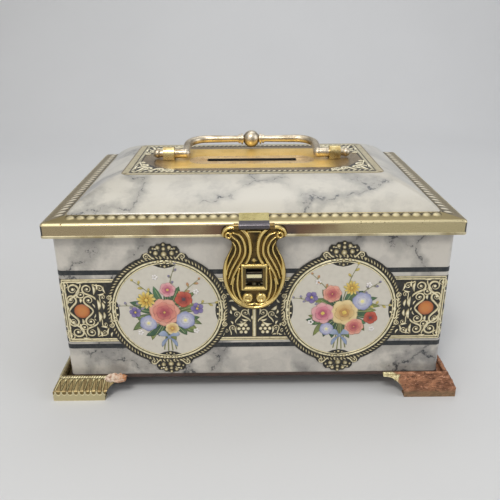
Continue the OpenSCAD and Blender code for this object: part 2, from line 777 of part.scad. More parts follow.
// Outline of the hasp's plate, with its bottom at the origin.
module hasp_outline() {
    right = [for (p = hasp_half) [p.x * hasp_half_w, p.y]];
    left = [for (i = [len(right) - 1 : -1 : 1]) [-right[i].x, right[i].y]];
    polygon(smooth(concat(right, left), 4));
}

// The lyre-shaped plate with its framed window, two curls below the window, and
// a lug behind each ear that turns on the pin.
module hasp() {
    notch_h = hasp_knuckle_r + side_gap;
    window = [window_w, window_h];
    plate_y = hasp_back_y - hasp_t;
    curl_r = frame_w * 0.5;
    curl_apart = 2.4;
    color("goldenrod") difference() {
        union() {
            translate([0, hasp_back_y, hasp_pin_z - hasp_len]) rotate([90, 0, 0])
                linear_extrude(hasp_t) hasp_outline();
            translate([0, plate_y + bond, window_z]) rotate([90, 0, 0])
                linear_extrude(frame_out + bond)
                    square(window + 2 * [frame_w, frame_w], center = true);
            for (side = [-1, 1]) {
                translate([side * curl_apart * curl_r, plate_y,
                           window_z - window_h / 2 - frame_w - 2 * curl_r])
                    sphere(curl_r);
                translate([0, hasp_pin_y, hasp_pin_z])
                    bar_x(hasp_lug_w, hasp_knuckle_r, side * (lug_x + hasp_lug_w / 2));
            }
        }
        translate([0, plate_y, window_z]) cube([window_w, 4 * hasp_t, window_h], center = true);
        translate([0, plate_y, hasp_pin_z - notch_h + hasp_len / 2])
            cube([2 * lug_x, 8 * hasp_t, hasp_len], center = true);
        translate([0, hasp_pin_y, hasp_pin_z])
            bar_x(2 * (lug_x + hasp_lug_w + side_gap), hasp_pin_r + bore_gap);
    }
}

// ---- nodes ----

body_shell();
base_panel();
foot(-1, -1);  // foot_front_left
foot(1, -1);  // foot_front_right
foot(-1, 1);  // foot_rear_left
foot(1, 1);  // foot_rear_right
foot_rivets();
staple();
body_hinge_leaf();
body_hinge_rivets();
hinge_pin();
lid_shell();
lid_hinge_leaf();
lid_hinge_rivets();
hasp_bracket();
hasp_pin();
handle_bracket(-1);  // handle_bracket_left
handle_bracket(1);  // handle_bracket_right
hasp();
handle();
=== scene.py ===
import math
from functools import partial

import bpy
import bmesh
import numpy as np
from mathutils import Matrix


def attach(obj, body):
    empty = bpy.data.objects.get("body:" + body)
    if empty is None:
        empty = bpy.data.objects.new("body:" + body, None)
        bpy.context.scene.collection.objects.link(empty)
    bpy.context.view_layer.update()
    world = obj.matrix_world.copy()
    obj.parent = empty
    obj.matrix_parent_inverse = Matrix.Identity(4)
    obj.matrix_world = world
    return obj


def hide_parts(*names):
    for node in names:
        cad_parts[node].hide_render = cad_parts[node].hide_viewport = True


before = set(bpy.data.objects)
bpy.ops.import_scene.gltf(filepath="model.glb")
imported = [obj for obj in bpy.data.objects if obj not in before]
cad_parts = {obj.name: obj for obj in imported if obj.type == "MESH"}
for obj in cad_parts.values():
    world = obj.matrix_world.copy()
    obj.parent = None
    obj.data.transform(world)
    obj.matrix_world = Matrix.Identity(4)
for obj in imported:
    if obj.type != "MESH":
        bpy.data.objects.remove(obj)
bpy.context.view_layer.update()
MM = 0.001


# ==== camera, floor and light ================================================
# The box stands on a pale sweep of card under soft studio lamps, and is seen from the
# front and a little above.

CAMERA_AT = (-3.058, -258.030, 148.577)
CAMERA_DOWN = 0.391486
CAMERA_TURN = 0.007396
CAMERA_ROLL = -0.0067607
CAMERA_LENS = 41.35
CAMERA_SENSOR = 36.0

look = np.array([math.sin(CAMERA_TURN) * math.cos(CAMERA_DOWN),
                 math.cos(CAMERA_TURN) * math.cos(CAMERA_DOWN),
                 -math.sin(CAMERA_DOWN)])
level = np.array([math.cos(CAMERA_TURN), -math.sin(CAMERA_TURN), 0.0])
raised = np.cross(level, look)
across = level * math.cos(CAMERA_ROLL) + raised * math.sin(CAMERA_ROLL)
upward = raised * math.cos(CAMERA_ROLL) - level * math.sin(CAMERA_ROLL)


def pose(x_way, y_way, at):
    """The pose of a thing at a place, from the ways its x and y axes point."""
    turned = np.eye(4)
    turned[:3, :3] = np.stack([x_way, y_way, np.cross(x_way, y_way)], -1)
    turned[:3, 3] = np.array(at) * MM
    return Matrix(turned.tolist())


camera = bpy.data.objects.new("camera", bpy.data.cameras.new("camera"))
camera.data.lens = CAMERA_LENS
camera.data.sensor_width = CAMERA_SENSOR
camera.matrix_world = pose(across, upward, CAMERA_AT)
bpy.context.scene.collection.objects.link(camera)
bpy.context.scene.camera = camera
bpy.context.scene.view_settings.view_transform = "Standard"


def linear(code):
    """Linear red, green, blue and 1 from an sRGB hex code."""
    parts = [int(code[i:i + 2], 16) / 255 for i in (0, 2, 4)]
    return tuple(p / 12.92 if p <= 0.04045 else ((p + 0.055) / 1.055) ** 2.4 for p in parts) + (1.0,)


def put(socket, value):
    """Sets a socket to a value, to a colour from its hex code, or to what another socket gives."""
    if isinstance(value, bpy.types.NodeSocket):
        socket.id_data.links.new(value, socket)
    else:
        socket.default_value = linear(value) if isinstance(value, str) else value


# The property that is called a node's mode, by the node's kind.
MODES = {"Attribute": "attribute_name", "MapRange": "interpolation_type", "Math": "operation",
         "Mix": "data_type", "TexVoronoi": "feature", "VectorMath": "operation"}


def add(tree, kind, *inputs, out=None, **named):
    """Adds a node and returns its output called out, or else the first that is in use.

    kind is the node's kind and, after a space, its mode. inputs go in order to the sockets in
    use, named ones to those of their names.
    """
    kind, _, mode = kind.partition(" ")
    made = tree.nodes.new("ShaderNode" + kind)
    if mode:
        setattr(made, MODES[kind], mode)
    for socket, value in zip([s for s in made.inputs if s.enabled], inputs):
        put(socket, value)
    for name, value in named.items():
        put(made.inputs[name], value)
    return made.outputs[out] if out else next(s for s in made.outputs if s.enabled)


def paint(material, **values):
    """Sets sockets of a material's shader; _ stands for a space."""
    for name, value in values.items():
        put(material.node_tree.nodes["Principled BSDF"].inputs[name.replace("_", " ")], value)


def finish(name, **values):
    """A new material, what adds a node to it, and its Object coordinates. values are its shader's."""
    material = bpy.data.materials.new(name)
    material.use_nodes = True
    paint(material, **values)
    node = partial(add, material.node_tree)
    return material, node, node("TexCoord", out="Object")


def grid(*parts):
    """Points from their coordinates, each given on a grid or on one row or column of it."""
    return np.stack(np.broadcast_arrays(*parts), -1)


def grid_quads(rows, cols, loop_cols=False):
    """Quads of a grid: point (i, j) with (i, j + 1), (i + 1, j + 1) and (i + 1, j)."""
    i = np.arange(rows - 1)[:, None]
    j = np.arange(cols if loop_cols else cols - 1)[None, :]
    after = (j + 1) % cols
    here, above = i * cols, (i + 1) * cols
    return grid(here + j, here + after, above + after, above + j).reshape(-1, 4)


WELD = 1e-6


def make(name, patches, materials, sharp=None):
    """One object from patches of (points in mm, quads, tints, material number).

    Points that meet are welded, which closes seams and poles. tints is a colour
    for each point, or None. Edges sharper than sharp degrees stay crisp.
    """
    points = np.concatenate([p[0].reshape(-1, 3) for p in patches]) * MM
    starts = np.cumsum([0] + [p[0].size // 3 for p in patches[:-1]])
    quads = np.concatenate([p[1] + start for p, start in zip(patches, starts)])
    mesh = bpy.data.meshes.new(name)
    mesh.from_pydata(points.tolist(), [], quads.tolist())
    chosen = np.concatenate([np.broadcast_to(p[3], len(p[1])) for p in patches])
    mesh.polygons.foreach_set("material_index", chosen.astype(np.int32))
    if patches[0][2] is not None:
        tints = np.concatenate([np.broadcast_to(p[2], (p[0].size // 3, 4)) for p in patches])
        layer = mesh.color_attributes.new("tint", "FLOAT_COLOR", "POINT")
        layer.data.foreach_set("color", tints.astype(np.float32).ravel())
    work = bmesh.new()
    work.from_mesh(mesh)
    bmesh.ops.remove_doubles(work, verts=work.verts, dist=WELD)
    bmesh.ops.delete(work, geom=[v for v in work.verts if not v.link_faces], context="VERTS")
    work.to_mesh(mesh)
    work.free()
    mesh.shade_smooth()
    if sharp is not None:
        mesh.set_sharp_from_angle(angle=math.radians(sharp))
    for material in materials:
        mesh.materials.append(material)
    made = bpy.data.objects.new(name, mesh)
    bpy.context.scene.collection.objects.link(made)
    return made


FLOOR_HALF_W = 1500.0
FLOOR_FRONT = -900.0
FLOOR_BACK = 420.0
SWEEP_R = 420.0
SWEEP_TOP = 1900.0

bend = np.linspace(0.0, math.pi / 2, 25)
sweep_y = np.concatenate([[FLOOR_FRONT], FLOOR_BACK + SWEEP_R * np.sin(bend), [FLOOR_BACK + SWEEP_R]])
sweep_z = np.concatenate([[0.0], SWEEP_R * (1 - np.cos(bend)), [SWEEP_TOP]])
sweep = grid(np.array([[FLOOR_HALF_W], [-FLOOR_HALF_W]]), sweep_y, sweep_z)

# Matt card: dead flat, with the faintest unevenness of tone over a hand's width.
card, node, place = finish("matt_card", Roughness=0.9, Specular_IOR_Level=0.15)
cloud = node("TexNoise", place, 6.0, 3.0)
paint(card, Base_Color=node("Mix RGBA", cloud, "CACBCC", "D1D2D3"))
floor = make("floor", [(sweep, grid_quads(2, sweep_y.size), None, 0)], [card])

# Soft lamps: overhead, front left and, weaker, right and behind for the backdrop. A smaller
# one high in front draws the shadow of the lid's edge along the walls.
for name, at, toward, size, watts, tone in (
        ("lamp_over", (-150, -60, 900), (0, 0, 60), 0.9, 1.9, "FFFDF8"),
        ("lamp_front", (-520, -820, 520), (0, 0, 50), 0.8, 2.0, "FFFAF2"),
        ("lamp_high", (-150, -600, 830), (0, -54, 60), 0.22, 3.6, "FFFCF6"),
        ("lamp_right", (800, -300, 450), (0, 0, 50), 0.7, 2.2, "F6F9FF"),
        ("lamp_back", (100, 450, 800), (0, 700, 0), 0.6, 1.5, "F8FAFF")):
    light = bpy.data.lights.new(name, "AREA")
    light.energy = watts
    light.size = size
    light.color = linear(tone)[:3]
    lamp = bpy.data.objects.new(name, light)
    away = np.array(at, float) - np.array(toward, float)
    away /= np.linalg.norm(away)
    side = np.cross([0.0, 0.0, 1.0], away)
    side /= np.linalg.norm(side)
    lamp.matrix_world = pose(side, np.cross(away, side), at)
    bpy.context.scene.collection.objects.link(lamp)

# The room: pale overhead and behind the box, a little dimmer and warmer low down in front.
# Seen or mirrored it is a pale wall; as light on the box it is weaker.
room = bpy.data.worlds.new("room")
bpy.context.scene.world = room
room.use_nodes = True
node = partial(add, room.node_tree)
aim = node("SeparateXYZ", node("TexCoord", out="Generated")).node.outputs
height = node("MapRange SMOOTHSTEP", aim[2], -0.1, 0.75)
depth = node("MapRange SMOOTHSTEP", aim[1], -0.5, 0.4)
bright = node("Math MAXIMUM", height, depth)
ray = node("LightPath").node.outputs
direct = node("Math MAXIMUM", ray["Is Camera Ray"], ray["Is Glossy Ray"])
shown = node("Math MAXIMUM", direct, ray["Is Transmission Ray"])
back = room.node_tree.nodes["Background"].inputs
put(back["Color"], node("Mix RGBA", bright, "9A958E", "D0D1D4"))
put(back["Strength"], node("MapRange", shown, 0.0, 1.0, 0.6, 0.92))


# ==== walls ==================================================================
# One strip of tinplate bent round to four walls. It is printed with grey-white
# marble under a clear stoving varnish before it is bent.

BODY_W = 154.0
BODY_D = 108.0
BODY_R = 2.2

# The marble's patterns, in features to the metre, and how far its veins are bent, in millimetres.
WANDERS = 55.0
CLOUDS = 34.0
CELLS = 27.0
THINNINGS = 90.0
PATCHES = 24.0
SPECKS = 380.0
RIPPLES = 60.0
VEIN_BEND = 34.0


def marble(name, pale, dull, dark, spread, shift_mm):
    """Printed marble: clouds of grey, with broken ink veins where a slow noise allows them.

    A vein is the border between cells of a Voronoi pattern whose place is pushed about
    by a noise, so that it wanders; a second noise thins it and a fine one breaks it up, and a
    soft grey lies along it. shift_mm moves the pattern.
    """
    material, node, place = finish(name, Roughness=0.3, IOR=1.5, Coat_Weight=0.35, Coat_Roughness=0.12)
    there = node("VectorMath", place, tuple(m * MM for m in shift_mm))
    warp = node("TexNoise", there, WANDERS, 6.0, 0.62, out="Color")
    shift = node("VectorMath SUBTRACT", warp, (0.5, 0.5, 0.5))
    bent = node("VectorMath", there, node("VectorMath SCALE", shift, VEIN_BEND * MM))
    cloud = node("TexNoise", bent, CLOUDS, 6.0, 0.6)
    mist = node("MapRange SMOOTHSTEP", cloud, 0.42, 0.68)
    ground = node("Mix RGBA", mist, pale, dull)
    cell = node("TexVoronoi DISTANCE_TO_EDGE", bent, CELLS)
    width = node("MapRange", node("TexNoise", there, THINNINGS, 3.0), 0.4, 0.66, 0.006, 0.06)
    vein = node("MapRange", cell, 0.0, width, 1.0, 0.0)
    halo = node("MapRange SMOOTHSTEP", cell, 0.0, 0.17, 0.42, 0.0)
    where = node("TexNoise", there, PATCHES, 2.0)
    some = node("MapRange SMOOTHSTEP", where, spread, spread + 0.1)
    grain = node("MapRange", node("TexNoise", place, SPECKS, 2.0), 0.34, 0.54, 0.25, 1.0)
    both = node("Math MAXIMUM", node("Math MULTIPLY", vein, grain), halo)
    inked = node("Math MULTIPLY", both, some)
    ripple = node("TexNoise", place, RIPPLES, 1.0)
    paint(material, Base_Color=node("Mix RGBA", inked, ground, dark),
          Normal=node("Bump", Height=ripple, Strength=0.12, Distance=0.0006))
    return material


def cover(material, mask, colour):
    """Lays a colour over a material's own where mask is 1."""
    own = material.node_tree.nodes["Principled BSDF"].inputs["Base Color"].links[0].from_socket
    paint(material, Base_Color=add(material.node_tree, "Mix RGBA", mask, own, colour))


def dress(material, *names):
    """Gives pieces of the frame their material in every slot."""
    for name in names:
        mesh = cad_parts[name].data
        if not mesh.materials:
            mesh.materials.append(material)
        for i in range(len(mesh.materials)):
            mesh.materials[i] = material


# Inside, where a face looks towards the middle, the tin is bare.
wall_marble = marble("lithographed_wall_marble", "C6C1B8", "A3A09B", "2C3036", 0.42, (64, 5, 18))
node = partial(add, wall_marble.node_tree)
level = node("VectorMath MULTIPLY", node("TexCoord", out="Object"), (1, 1, 0))
facing = node("VectorMath DOT_PRODUCT", level, node("TexCoord", out="Normal"))
inside = node("Math LESS_THAN", facing, -0.001)
cover(wall_marble, inside, "A89B7E")
paint(wall_marble, Metallic=inside)
dress(wall_marble, "body_shell")


# ==== printed black stripes ==================================================
# Two black lines of ink run right round the walls, above and below the black ground of the
# ornament. They are laid down thickly enough to stand a hair above the tin.

WALL_R_STEPS = 8
QUARTERS = ((1, 1), (-1, 1), (-1, -1), (1, -1))
INK_LIFT = 0.06
INK_SINK = 0.05
BAND_LOW = 24.3
BAND_HIGH = 52.7
GROUND = "1C1B17"
STRIPES = ((54.4, 56.4, "191F24"), (21.2, 23.3, "191F24"))


def unit(angle):
    """Cosine and sine of an angle, as a flat direction."""
    return np.stack([np.cos(angle), np.sin(angle)], -1)


def round_box(half_x, half_y, r, side_steps=1):
    """A level outline, anticlockwise: four quarter circles of radius r joined by straight sides."""
    turn = np.linspace(0.0, math.pi / 2, WALL_R_STEPS + 1)
    corners = []
    for quarter, (sx, sy) in enumerate(QUARTERS):
        angle = turn + quarter * math.pi / 2
        corners.append(r * unit(angle) + [sx * (half_x - r), sy * (half_y - r)])
    sides = []
    for here, there in zip(corners, corners[1:] + corners[:1]):
        step = np.linspace(0.0, 1.0, side_steps + 1)[1:-1, None]
        sides += [here, here[-1] + step * (there[0] - here[-1])]
    return np.concatenate(sides)


def wall_hoop(low, high, tint):
    """A hoop of ink: its section, in (lift, height), carried along the walls' outline."""
    rings = []
    for lift, height in ((-INK_SINK, high), (-INK_SINK, low), (INK_LIFT, low), (INK_LIFT, high)):
        flat = round_box(BODY_W / 2 + lift, BODY_D / 2 + lift, BODY_R + lift)
        rings.append(np.column_stack([flat, np.full(len(flat), height)]))
    rings = np.stack(rings + rings[:1])
    return rings, grid_quads(*rings.shape[:2], loop_cols=True), linear(tint), 0


def tinted(name, scale, detail, low, high, most, worn, **values):
    """A finish in the piece's own tints, with a worn colour laid over up to most of it.

    The wear follows a noise of the given detail, with scale blots to the metre, and comes up
    where that lies from low to high.
    """
    material, node, place = finish(name, **values)
    spot = node("MapRange", node("TexNoise", place, scale, detail), low, high, 0.0, most)
    own = node("Attribute tint")
    paint(material, Base_Color=node("Mix RGBA", spot, own, worn))
    return material


# Stoved printing ink: non-metal, colour from the piece, under the same gloss varnish.
ink = tinted("printed_ink", 500.0, 3.0, 0.45, 0.8, 0.16, "8E897C", Roughness=0.45, IOR=1.5,
             Coat_Weight=0.1, Coat_Roughness=0.2)
hoops = [wall_hoop(*row) for row in STRIPES + ((BAND_LOW, BAND_HIGH, GROUND),)]
stripes = make("printed_stripes", hoops, [ink], sharp=40)
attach(stripes, "box")


# ==== ornament band ==========================================================
# Gold scrollwork on a black ground, printed and lightly embossed: two rails, then
# crooks, leaves and beads round an orange boss at each end of a wall.

# Each wall: the level ways along it and out of it, half its length, and how far out it stands.
WALLS = {"front": ((1, 0), (0, -1), BODY_W / 2, BODY_D / 2),
         "back": ((-1, 0), (0, 1), BODY_W / 2, BODY_D / 2),
         "left": ((0, -1), (-1, 0), BODY_D / 2, BODY_W / 2),
         "right": ((0, 1), (1, 0), BODY_D / 2, BODY_W / 2)}
END_FLAT = 0.4
MOST_ARC = 1.4
BAND_MID = 38.5
BRIGHT = "F6EDCC"
MIDDLE = "B4A67A"
SHADE = "3E3726"
FERN_TURNS = 1.25
RIB_LIFT = 0.32
SPRIG_TRIES = 420
SPRIG_GAP = 0.62
SPRIG_MARGIN = 2.3
DOME_TINTS = (SHADE, SHADE, MIDDLE, BRIGHT, BRIGHT)
RIB_TINTS = (SHADE, MIDDLE, BRIGHT, MIDDLE, SHADE, SHADE)


def on_wall(patch, wall):
    """Stands a flat patch (along, up, out) on one of the four walls.

    Past the start of the wall's rounded corner a point goes round by its excess as an arc.
    The end walls are embossed less deeply than the long ones.
    """
    way, out_way, half, stands = WALLS[wall]
    along, up, out = np.moveaxis(patch[0], -1, 0)
    out = out * (END_FLAT if half < stands else 1.0)
    flat_half = half - BODY_R
    arc = np.clip((np.abs(along) - flat_half) / BODY_R, 0, MOST_ARC)
    ahead = np.where(arc > 0, flat_half + (BODY_R + out) * np.sin(arc), np.abs(along)) * np.sign(along)
    proud = (BODY_R + out) * np.cos(arc) - BODY_R
    level = ahead[..., None] * way + (stands + proud)[..., None] * out_way
    return (np.concatenate([level, up[..., None]], -1),) + patch[1:]


def moved(patch, along=0.0, up=0.0, scale=1.0, lift=0.0):
    """A flat patch scaled, then shifted along, up and out of its wall."""
    return (patch[0] * [scale, scale, 1.0] + [along, up, lift],) + patch[1:]


def flipped(patch):
    """A flat patch seen in a mirror, left for right, its faces turned to stay outward."""
    return (patch[0] * [-1.0, 1.0, 1.0], patch[1][:, ::-1]) + patch[2:]


def relief(outline, profile, tints, slot=0):
    """A closed low boss. Each (fraction, lift) of profile draws the outline in to its
    centre by that fraction; profile runs from the back's middle over the rim to the front's.
    """
    middle = outline.mean(0)
    profile = np.array(profile, float)
    flat = middle + profile[:, 0, None, None] * (outline[None] - middle)
    lift = np.broadcast_to(profile[:, 1, None, None], flat.shape[:2] + (1,))
    colours = np.repeat([linear(t) for t in tints], len(outline), axis=0)
    return np.concatenate([flat, lift], -1), grid_quads(*flat.shape[:2], loop_cols=True), colours, slot


def slab(outline, tint, back, *front, slot=1):
    """A flat plate of one tint, from back up to the profile in front of it."""
    profile = ((0, back), (1, back)) + front
    return relief(outline, profile, (tint,) * len(profile), slot)


def ribbon(path, half_width, height, tints=RIB_TINTS, slot=0):
    """A rounded rib along a flat path: a low arch of the given half width and height at
    each point, closed underneath.
    """
    way = np.gradient(path, axis=0)
    way /= np.linalg.norm(way, axis=1, keepdims=True) + 1e-9
    left = np.stack([-way[:, 1], way[:, 0]], -1)
    half_width = np.broadcast_to(half_width, len(path))
    arch = np.array([[1.0, 0.0], [0.72, 0.72], [0.0, 1.0], [-0.72, 0.72], [-1.0, 0.0], [0.0, -0.1]])
    flat = path[:, None] + left[:, None] * (half_width[:, None] * arch[:, 0])[..., None]
    lift = np.broadcast_to(height * arch[:, 1], flat.shape[:2])[..., None]
    ease = np.minimum(1.0, half_width / (half_width.max() * 0.5))[:, None, None]
    colours = np.tile([linear(t) for t in tints], (len(path), 1))
    quads = grid_quads(*flat.shape[:2], loop_cols=True)
    return np.concatenate([flat, lift * ease], -1), quads, colours, slot


def circle(steps):
    """Angles evenly round a full turn."""
    return np.linspace(0, 2 * math.pi, steps, endpoint=False)


def oval(along, up, half_a, half_b, tilt=0.0, steps=10):
    """An ellipse's outline, turned anticlockwise by tilt."""
    flat = unit(circle(steps)) * [half_a, half_b]
    return flat @ [unit(tilt), unit(tilt + math.pi / 2)] + [along, up]


def bead(along, up, half_a, half_b=None, tilt=0.0, lift=0.35, tints=DOME_TINTS, slot=0):
    """A small raised bead on an oval outline."""
    return relief(oval(along, up, half_a, half_b or half_a, tilt), ((0, -0.02), (1, -0.02),
                  (0.86, 0.55 * lift), (0.5, 0.9 * lift), (0, lift)), tints, slot)


def crook(root, head, hand, thick=0.095, rib=RIB_TINTS, knob=DOME_TINTS, slot=0):
    """A fern crook from root to head: a leaning stem runs into a spiral whose radius
    falls evenly over a turn and a quarter, with a bead at its middle.
    """
    root, head = np.array(root, float), np.array(head, float)
    t = np.linspace(0.0, 1.0, 28)
    radius = 0.37 * (1 - 0.68 * t)
    angle = math.radians(120) - 2 * math.pi * FERN_TURNS * t
    curl = [1, 0] + radius[:, None] * unit(angle)
    s = np.linspace(0.0, 1.0, 12)[:-1, None]
    lean = np.array([0.25, -0.12])
    enter = curl[0] - 0.35 * np.array([0.866, 0.5])
    stem = 3 * s * (1 - s) ** 2 * lean + 3 * s ** 2 * (1 - s) * enter + s ** 3 * curl[0]
    path = np.concatenate([stem, curl]) * [1.0, hand]
    reach = head - root
    size = np.linalg.norm(reach)
    turn = np.array([[reach[0], -reach[1]], [reach[1], reach[0]]])
    path = root + path @ turn.T
    u = np.linspace(0.0, 1.0, len(path))
    half = size * thick * (0.12 + 0.88 * np.sin(np.pi * np.clip(u * 1.15, 0, 1) ** 0.6) ** 0.7)
    half = np.maximum(half * (1 - 0.35 * u), size * 0.02)
    return [ribbon(path, half, RIB_LIFT, rib, slot), bead(*head, size * 0.105, tints=knob, slot=slot)]


def blade(root, tip, width, curve, early=1.0, full=0.8):
    """The outline of a leaf bowed to one side. Its half width is the sine of the length done,
    to the power early, and that sine to the power full.
    """
    root, tip = np.array(root, float), np.array(tip, float)
    t = np.linspace(0.0, 1.0, 9)
    reach = tip - root
    side = np.array([-reach[1], reach[0]])
    spine = root + t[:, None] * reach + (curve * np.sin(math.pi * t))[:, None] * side
    half = (width * np.sin(math.pi * t ** early) ** full)[:, None] * side / np.linalg.norm(side)
    return np.concatenate([spine - half, (spine + half)[-2:0:-1]])


def leaf(root, tip, width, curve=0.15, lift=0.3, tints=DOME_TINTS, slot=0):
    """A pointed raised leaf from root to tip."""
    return relief(blade(root, tip, width, curve), ((0, -0.02), (1, -0.02), (0.85, 0.6 * lift),
                  (0.45, 0.95 * lift), (0, lift)), tints, slot)


def leaves(rows, **more):
    """A leaf for each (root, tip, width)."""
    return [leaf(*row, **more) for row in rows]


def crooks(rows, *more):
    """The parts of a crook for each (root, head, hand)."""
    return [part for row in rows for part in crook(*row, *more)]


def straight(a0, b0, a1, b1, steps=2):
    """A straight path between two points."""
    return np.linspace((a0, b0), (a1, b1), steps)


# Printed and embossed gold: bronze ink under a tinted varnish, so only in part a metal. Its
# ridges shine and its flanks stay dull.
gold_print = tinted("bronzed_gold_print", 700.0, 2.0, 0.5, 0.8, 0.55, "4A4531", Metallic=0.3,
                    Roughness=0.34, Coat_Weight=0.25, Coat_Roughness=0.2)

# The end ornament's upper half, from its boss outward: stems' roots and heads.
BOSS_R = 3.15
UPPER_CROOKS = (((5.3, 3.2), (2.7, 9.6), 1), ((-5.9, 4.9), (-2.9, 9.7), -1),
                ((5.0, -0.8), (3.9, 5.0), 1), ((-4.4, -0.6), (-3.0, 4.8), -1),
                ((-5.4, 12.0), (-8.0, 10.0), -1), ((5.7, 6.6), (5.5, 11.4), -1),
                ((-7.2, 3.4), (-8.7, 6.2), -1), ((-0.4, 12.2), (-0.2, 7.4), 1))
UPPER_LEAVES = (((-5.2, 6.8), (-5.0, 12.2), 0.6), ((-6.6, 0.0), (-6.4, 5.4), 0.8),
                ((-8.6, 0.4), (-8.2, 4.0), 0.6), ((0.3, 3.5), (0.3, 6.2), 0.6),
                ((-1.9, 12.3), (1.3, 12.2), 0.35), ((-6.6, 7.2), (-9.8, 8.0), 0.45),
                ((5.5, 0.0), (5.7, 3.0), 0.3), ((-5.3, 1.2), (-4.2, 3.4), 0.3),
                ((1.7, 5.6), (1.2, 7.6), 0.4), ((-6.4, 9.0), (-6.7, 12.3), 0.45),
                ((-9.4, 11.2), (-10.2, 7.4), 0.4))


def end_ornament(squeeze=1.0, with_boss=True):
    """Crooks and leaves above a boss, and the same again below it, upside down.

    The boss is an orange dome of ink, yellower at its upper left and redder at its lower right.
    """
    made = []
    for lower in (1, -1):
        way = np.array([squeeze, lower])
        made += crooks([(root * way, head * way, hand * lower) for root, head, hand in UPPER_CROOKS])
        made += leaves([(root * way, tip * way, width) for root, tip, width in UPPER_LEAVES],
                       curve=0.12 * lower)
    if with_boss:
        disc = relief(oval(0, 0, BOSS_R, BOSS_R, steps=28),
                      ((0, -0.02), (1, -0.02), (1, 0.25), (0.92, 0.44), (0.7, 0.52), (0.4, 0.56),
                       (0, 0.58)),
                      ("6A3C22", "6A3C22", "8C5230", "B86A38", "CE7E42", "D68A48", "D68A48"), 1)
        glow = np.clip(0.5 + (disc[0][..., 1] - disc[0][..., 0]).reshape(-1, 1) / (4 * BOSS_R), 0, 1)
        tint = disc[2] * (1 - glow * [0.0, -0.25, -0.1, 0.0]) * [0.8, 0.7, 0.76, 1.0]
        made.append(disc[:2] + (tint, 1))
    return made


RAILS = ((0.4, 0.34), (1.25, 0.42))


def ornament_rails(half_length):
    """A double gold rail round the band's ground: one line along its edge and a broader one within."""
    made = []
    for inset, half_width in RAILS:
        a, b0, b1 = half_length - inset, BAND_LOW + inset, BAND_HIGH - inset
        for path in (straight(-a, b0, a, b0, 60), straight(a, b0, a, b1), straight(a, b1, -a, b1, 60),
                     straight(-a, b1, -a, b0)):
            made.append(ribbon(path, half_width, 0.28))
    return made


def grapes(along, up):
    """A bunch of seven beads and a drooping leaf, as under the hasp."""
    made = [bead(along, up, 0.82)]
    made += [bead(*([along, up] + 1.85 * unit(a)), 0.82) for a in circle(6)]
    made.append(leaf((along - 3.2, up + 2.2), (along + 1.6, up + 3.6), 0.6, curve=-0.2))
    return made


def centre_ornament():
    """Between two roundels: an upright bar, bunches of grapes and crooks each side of it."""
    half = grapes(-4.4, 29.8)
    half += crooks((((-1.6, 33.0), (-3.6, 37.2), 1), ((-9.6, 26.8), (-8.8, 30.2), 1),
                    ((-1.8, 41.6), (-5.4, 41.4), 1), ((-7.6, 32.6), (-7.0, 36.4), -1),
                    ((-12.8, 26.6), (-11.4, 28.8), 1), ((-1.8, 44.6), (-4.2, 48.0), 1),
                    ((-8.6, 44.4), (-8.9, 48.4), -1), ((-12.6, 50.6), (-11.6, 48.8), -1)))
    half += leaves((((-2.0, 33.8), (-5.4, 34.4), 0.5), ((-6.6, 38.2), (-9.2, 40.4), 0.8),
                    ((-9.6, 33.4), (-8.6, 31.6), 0.4), ((-8.9, 36.4), (-9.4, 38.6), 0.5),
                    ((-1.8, 35.6), (-1.9, 40.2), 0.4), ((-6.4, 45.0), (-6.6, 50.6), 0.5),
                    ((-7.0, 27.0), (-7.2, 31.2), 0.4), ((-2.0, 50.6), (-6.0, 50.8), 0.4),
                    ((-9.2, 50.8), (-7.4, 46.4), 0.4)))
    bar = [ribbon(straight(0, BAND_LOW + 2.0, 0, BAND_HIGH - 2.0, 3), 0.85, 0.3)]
    return half + [flipped(p) for p in half] + bar


def sprigs(patches, half_length, hidden, seed):
    """Small leaves in the gaps of the ornament: each is as long as the free space round its middle.

    hidden lists where along the band a roundel covers it.
    """
    rng = np.random.default_rng(seed)
    taken = np.concatenate([p[0].reshape(-1, 3)[:, :2] for p in patches])
    made = []
    low, high = (-half_length, BAND_LOW + SPRIG_MARGIN), (half_length, BAND_HIGH - SPRIG_MARGIN)
    for along, up in rng.uniform(low, high, (SPRIG_TRIES, 2)):
        tilt = rng.uniform(0, math.pi)
        free = np.hypot(taken[:, 0] - along, taken[:, 1] - up).min()
        if free < SPRIG_GAP or any(math.hypot(along - at, up - BAND_MID) < COVER_R for at in hidden):
            continue
        reach = min(1.5, 1.15 * free) * unit(tilt)
        made.append(leaf([along, up] - reach, [along, up] + reach, min(0.42, 0.34 * free), 0.16, 0.24))
        taken = np.concatenate([taken, made[-1][0].reshape(-1, 3)[:, :2]])
    return made


ROUNDEL_AT = 34.7
COVER_R = 24.6
LONG_HALF = 75.9
SHORT_HALF = 51.9
BOSS_AT = 68.9
BOSS_Z = 38.6
SHORT_BOSS_AT = 34.6
SHORT_OUTER_AT = 47.0
SHORT_SQUEEZE = 0.86

for wall in WALLS:
    long_wall = wall in ("front", "back")
    half_length = LONG_HALF if long_wall else SHORT_HALF
    patches = ornament_rails(half_length)
    if long_wall:
        ends = [moved(p, BOSS_AT, BOSS_Z) for p in end_ornament()]
        patches += centre_ornament()
    else:
        ends = [moved(p, SHORT_BOSS_AT, BOSS_Z) for p in end_ornament(SHORT_SQUEEZE)]
        ends += [moved(flipped(p), SHORT_OUTER_AT, BOSS_Z)
                 for p in end_ornament(SHORT_SQUEEZE, with_boss=False)]
    patches += ends + [flipped(p) for p in ends]
    patches += sprigs(patches, half_length, (-ROUNDEL_AT, ROUNDEL_AT) if long_wall else (0,), 21)
    band = make("ornament_band_" + wall, [on_wall(p, wall) for p in patches], [gold_print, ink],
                sharp=60)
    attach(band, "box")


